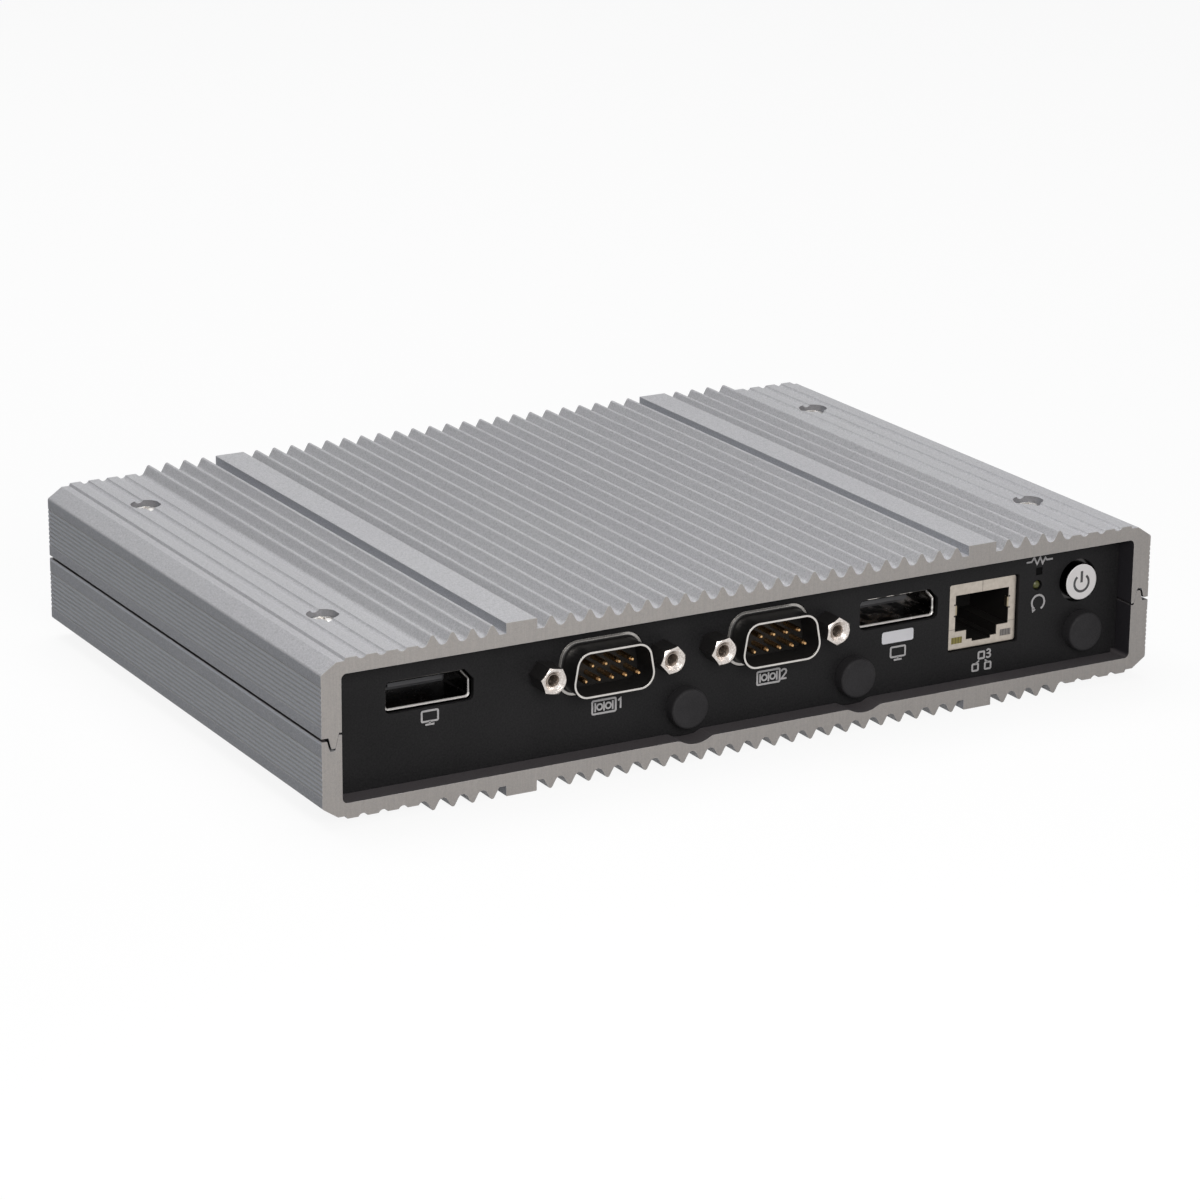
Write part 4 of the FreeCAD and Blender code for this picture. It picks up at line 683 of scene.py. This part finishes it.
def printed(name, shapes, face=panel_face, outward=-1.0, material=ink, body=RECORD_BODY):
    """One print made of several flat shapes, raised by the thickness of the ink."""
    vertices = []
    faces = []
    for shape in shapes:
        some, more = slab(shape, face + outward * ink_rise, face - outward * ink_sink)
        offset = len(vertices)
        vertices += some
        for loop in more:
            indices = [i + offset for i in loop]
            faces.append(tuple(indices if outward < 0 else reversed(indices)))
    add_piece(name, vertices, faces, material, body)


def digit(character, x, z, height):
    """Stroke of a plain number, round its middle."""
    scale = height / glyph_height
    return line(*[(x + a * scale, z + b * scale) for a, b in GLYPHS[character]], width=0.34)


def serial_mark(name, port, shift, drop, number):
    """Serial sign: a box with three bars and two circles, and the port's number."""
    box_width, box_height, corner_radius, stroke = 4.95, 2.55, 0.25, 0.38
    bar_reach, bar_spacing = 0.88, 1.85
    circle_radius, circle_spacing, thin_stroke = 0.56, 0.92, 0.32
    x, z = middle(port)
    x += shift
    z -= drop
    shapes = [outline(round_box(x, z, box_width, box_height, corner_radius), stroke)]
    for column in (x - bar_spacing, x, x + bar_spacing):
        shapes.append(line((column, z - bar_reach), (column, z + bar_reach), width=thin_stroke))
    for column in (x - circle_spacing, x + circle_spacing):
        shapes.append(outline(ring(column, z, circle_radius), thin_stroke))
    shapes.append(digit(number, x + 3.4, z + 0.05, height=2.1))
    printed(name, shapes)


def network_mark(name, port, number, face=panel_face, outward=-1.0):
    """Network sign: one box over two, joined by lines, and the port's number. The rear ones are mirrored."""
    drop, box, corner_radius, stroke, thin_stroke = 9.0, 1.35, 0.2, 0.38, 0.3
    x, z = middle(port)
    z -= drop
    side = -outward
    shapes = [outline(round_box(x - side * 0.25, z + 0.62, box, box, corner_radius), stroke)]
    for offset in (-1.6, 1.35):
        column = x + side * offset
        shapes.append(outline(round_box(column, z - 1.70, box, box, corner_radius), stroke))
        shapes.append(line((column, z - 0.98), (x + side * offset * 0.45, z - 0.45), width=thin_stroke))
    points, faces, border = digit(number, 0.0, z + 0.75, height=1.8)
    points = [(x + side * (1.40 + a), b) for a, b in points]
    if outward > 0:
        faces = [tuple(reversed(loop)) for loop in faces]
        border = [(b, a) for a, b in border]
    shapes.append((points, faces, border))
    printed(name, shapes, face, outward)


def screen_mark(name, port, drop):
    """Screen sign: a box on a short stand."""
    screen_width, screen_height, corner_radius, stroke = 3.3, 2.0, 0.25, 0.36
    foot_reach = 0.9
    x, z = middle(port)
    z -= drop
    printed(name, [
        outline(round_box(x, z + 0.35, screen_width, screen_height, corner_radius), stroke),
        line((x, z - 0.65), (x, z - 1.15), width=stroke),
        line((x - foot_reach, z - 1.25), (x + foot_reach, z - 1.25), width=stroke),
    ])


serial_mark("print_serial_1", "com1_shell", shift=0.60, drop=8.35, number="1")
serial_mark("print_serial_2", "com2_shell", shift=0.20, drop=8.40, number="2")
network_mark("print_network_3", "lan3_shield", "3")
network_mark("print_network_1", "lan1_shield", "1", rear_face, 1.0)
network_mark("print_network_2", "lan2_shield", "2", rear_face, 1.0)
screen_mark("print_screen_1", "display1_shell", drop=5.0)
screen_mark("print_screen_2", "display2_shell", drop=8.75)
field_x, field_z = middle("display2_shell")
field = round_box(field_x - 0.15, field_z - 5.30, width=7.2, height=2.4, radius=0.45)
printed("print_label_field", [disc(field)], material=field_ink)
reset_x, reset_z = middle("reset_plunger")
loop = ring(reset_x + 0.3, reset_z - 3.55, radius=1.48, start=-62.0, end=236.0, steps=30)
arrow = [(reset_x + a, reset_z + b) for a, b in RESET_ARROW]
printed("print_reset", [line(*loop, width=0.40), disc(arrow)])
status_x, status_z = middle("status_led")
pulse = [(status_x + a, status_z + b) for a, b in PULSE]
printed("print_status", [line(*pulse, width=0.34)])

button_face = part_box("power_button")[0][1] / MM
loop = ring(button_x, button_z - 0.22, radius=1.70, start=129.0, end=411.0, steps=30)
bar = line((button_x, button_z - 0.10), (button_x, button_z + 2.20), width=0.56)
printed("button_symbol", [line(*loop, width=0.50), bar], button_face, -1.0, button_ink, "button")


# ---------------------------------------------------------------- small pieces the solids leave out
def thread_sleeve(name, x, z, y_mouth, y_end, bore, material):
    """Inner thread: a helical ridge on the wall of a bore."""
    pitch = 0.635
    ridge = 0.20
    clearance = 0.02       # between the ridge's root and the bore
    skin = 0.005           # and between the sleeve's back and the bore
    steps = 40
    rows = 56
    length = y_end - y_mouth
    columns = []
    for i in range(steps):
        column = []
        for k in range(rows + 1):
            y = y_mouth + length * k / rows
            phase = ((y - y_mouth) / pitch + i / steps) % 1.0
            height = ridge * (1.0 - abs(2.0 * phase - 1.0))
            column.append((bore - clearance - height, y))
        column += [(bore - skin, y_end), (bore - skin, y_mouth)]
        columns.append(column)
    turned(name, x, z, columns, material)


countersink_depth = 0.72
thread_length = 3.2
thread_radius = 1.25
jack_spread = 12.5         # standoffs on each side of a serial port, from its middle
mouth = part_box("serial_standoffs")[0][1] / MM + countersink_depth
jack_places = []
for port in ("com1_shell", "com2_shell"):
    x, z = middle(port)
    jack_places += [(x - jack_spread, z), (x + jack_spread, z)]
for index, (x, z) in enumerate(jack_places):
    name = "jack_thread_%d" % (index + 1)
    thread_sleeve(name, x, z, mouth, mouth + thread_length, thread_radius, thread_steel)

tip_steps = 28
tip_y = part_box("reset_plunger")[0][1] / MM
axis, crown, shoulder, tip_radius = 0.0005, 0.45, 0.74, 0.84
tip_profile = [(axis, tip_y - 1.22), (crown, tip_y - 1.16), (shoulder, tip_y - 0.96),
               (tip_radius, tip_y - 0.66), (tip_radius, tip_y + 0.02), (axis, tip_y + 0.02)]
turned("reset_tip", reset_x, reset_z, [tip_profile] * tip_steps, olive, "reset")


def sheet(name, sides, levels, depths, material):
    """Thin rectangular sheet between two places in x, two levels (the lower first) and two places in y."""
    left, right = sorted(sides)
    bottom, top = levels
    corners = [(left, bottom), (right, bottom), (right, top), (left, top)]
    add_piece(name, *slab(disc(corners), min(depths), max(depths)), material, RECORD_BODY)


def shield_details(name, outward):
    """Spring fingers with their slits, the seam over the opening and the folds beside it."""
    low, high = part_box(name + "_shield")
    face = (low[1] if outward < 0 else high[1]) / MM
    x, z = (low[0] + high[0]) / 2.0 / MM, (low[2] + high[2]) / 2.0 / MM
    top = high[2] / MM
    finger, finger_height, finger_depth = z + 0.35, 1.95, 1.0
    slit_width, slit_height = 0.28, 0.30
    seam_half_width, seam_length = 0.06, 2.2
    fold, fold_height = z - 2.55, 0.10
    inside = (face - outward * 0.02, face - outward * finger_depth)
    proud = (face + outward * 0.02, face - outward * 0.05)
    skin = (face + outward * 0.015, face - outward * 0.05)
    for side in (-1, 1):
        edge = x + side * (socket_half_width + 0.04)
        sides = (edge, x + side * (socket_half_width - 0.32))
        levels = (finger, finger + finger_height)
        sheet("%s_finger_%d" % (name, side + 2), sides, levels, inside, finger_tin)
        # The two slits of a finger share a name, and the second gets a number after it.
        sides = (edge, edge + side * slit_width)
        for level in (finger - 0.32, finger + finger_height + 0.02):
            levels = (level, level + slit_height)
            sheet("%s_slit_high_%d" % (name, side + 2), sides, levels, proud, insulator_black)
    sides = (x - seam_half_width, x + seam_half_width)
    sheet(name + "_seam", sides, (top - seam_length, top - 0.05), skin, seam_grey)
    for side in (-1, 1):
        sides = (x + side * (socket_half_width + 0.05), x + side * socket_fold_end)
        sheet("%s_fold_%d" % (name, side + 2), sides, (fold, fold + fold_height), skin, seam_grey)


for name, outward in (("lan1", 1.0), ("lan2", 1.0), ("lan3", -1.0)):
    shield_details(name, outward)


# ---------------------------------------------------------------- stage, light and camera
def seen_directly(tree):
    """1 for rays from the camera, off glossy surfaces and through clear ones."""
    path = tree.nodes.new("ShaderNodeLightPath")
    seen = path.outputs["Is Camera Ray"]
    for kind in ("Is Glossy Ray", "Is Transmission Ray"):
        most = tree.nodes.new("ShaderNodeMath")
        most.operation = "MAXIMUM"
        tree.links.new(seen, most.inputs[0])
        tree.links.new(path.outputs[kind], most.inputs[1])
        seen = most.outputs[0]
    return seen


def stage_material():
    """Floor that is white to look at, keeps the object's shadow and throws little light back."""
    whiteness = 0.90
    s = Shade("pale_floor")
    soft = s.noise(s.stretched(400.0, 400.0, 400.0), 2.0, 0.5)
    seen = seen_directly(s.tree)
    s.link(s.mix(seen, s.tones(soft, grey(0.24), grey(0.26)), grey(0.94)), "Base Color")
    s.set(Roughness=0.9, Specular_IOR_Level=0.1)
    glow = s.node("ShaderNodeEmission")
    glow.inputs["Color"].default_value = grey(1.0)
    glow.inputs["Strength"].default_value = 1.0
    mixer = s.node("ShaderNodeMixShader")
    s.feed(mixer.inputs[0], s.times(seen, whiteness))
    s.feed(mixer.inputs[1], s.bsdf.outputs[0])
    s.feed(mixer.inputs[2], glow.outputs[0])
    s.feed(s.out.inputs[0], mixer.outputs[0])
    return s.material


floor_reach = 8.0
corners = [(-floor_reach, -floor_reach, 0), (floor_reach, -floor_reach, 0),
           (floor_reach, floor_reach, 0), (-floor_reach, floor_reach, 0)]
floor_mesh = bpy.data.meshes.new("floor")
floor_mesh.from_pydata(corners, [], [(0, 1, 2, 3)])
floor_mesh.materials.append(stage_material())
floor = bpy.data.objects.new("floor", floor_mesh)
bpy.context.scene.collection.objects.link(floor)

scene = bpy.context.scene


def backdrop(tree, colour, strength):
    made = tree.nodes.new("ShaderNodeBackground")
    made.inputs["Color"].default_value = colour
    made.inputs["Strength"].default_value = strength
    return made.outputs[0]


def studio_world():
    """White backdrop to look at, and a dim cool ambient light on the object."""
    world = bpy.data.worlds.new("studio")
    world.use_nodes = True
    tree = world.node_tree
    tree.nodes.clear()
    out = tree.nodes.new("ShaderNodeOutputWorld")
    mixer = tree.nodes.new("ShaderNodeMixShader")
    tree.links.new(seen_directly(tree), mixer.inputs[0])
    tree.links.new(backdrop(tree, rgb(0.92, 0.96, 1.0), 0.015), mixer.inputs[1])
    tree.links.new(backdrop(tree, rgb(1.0, 1.0, 1.0), 1.0), mixer.inputs[2])
    tree.links.new(mixer.outputs[0], out.inputs[0])
    return world


scene.world = studio_world()


def softbox(name, place, target, size, watts, colour):
    """Rectangular area lamp that points at a target."""
    lamp = bpy.data.lights.new(name, "AREA")
    lamp.shape = "RECTANGLE"
    lamp.size, lamp.size_y = size
    lamp.energy = watts
    lamp.color = colour
    item = bpy.data.objects.new(name, lamp)
    item.location = place
    item.rotation_euler = (Vector(target) - Vector(place)).to_track_quat("-Z", "Y").to_euler()
    scene.collection.objects.link(item)


origin = (0.0, 0.0, 0.0)
cool_white = (0.985, 0.99, 1.0)
warm_white = (1.0, 0.985, 0.965)
softbox("overhead", (0.05, 0.30, 1.15), origin, (1.1, 0.9), 8.4, cool_white)
softbox("overhead_left", (-0.30, 0.25, 1.15), origin, (1.1, 0.9), 4.1, cool_white)
softbox("front", (-0.12, -0.45, 0.22), (0.0, 0.0, 0.02), (0.25, 0.20), 1.4, warm_white)

camera_place = (-0.380308, -0.668888, 0.257872)
camera_angles = (29.725, 17.738, 0.461)    # yaw to the right, pitch down and roll, in degrees
camera_data = bpy.data.cameras.new("camera")
camera_data.sensor_width = 36.0
camera_data.lens = 121.75
camera_data.clip_start = 0.05
camera_data.clip_end = 50.0
camera = bpy.data.objects.new("camera", camera_data)
yaw, pitch, roll = (math.radians(angle) for angle in camera_angles)
ahead = Vector((math.sin(yaw) * math.cos(pitch), math.cos(yaw) * math.cos(pitch), -math.sin(pitch)))
level_right = Vector((math.cos(yaw), -math.sin(yaw), 0.0))
level_up = level_right.cross(ahead)
right = math.cos(roll) * level_right + math.sin(roll) * level_up
up = -math.sin(roll) * level_right + math.cos(roll) * level_up
turn = Matrix((right, up, -ahead)).transposed().to_4x4()
camera.matrix_world = Matrix.Translation(camera_place) @ turn
scene.collection.objects.link(camera)
scene.camera = camera
scene.view_settings.view_transform = "Standard"
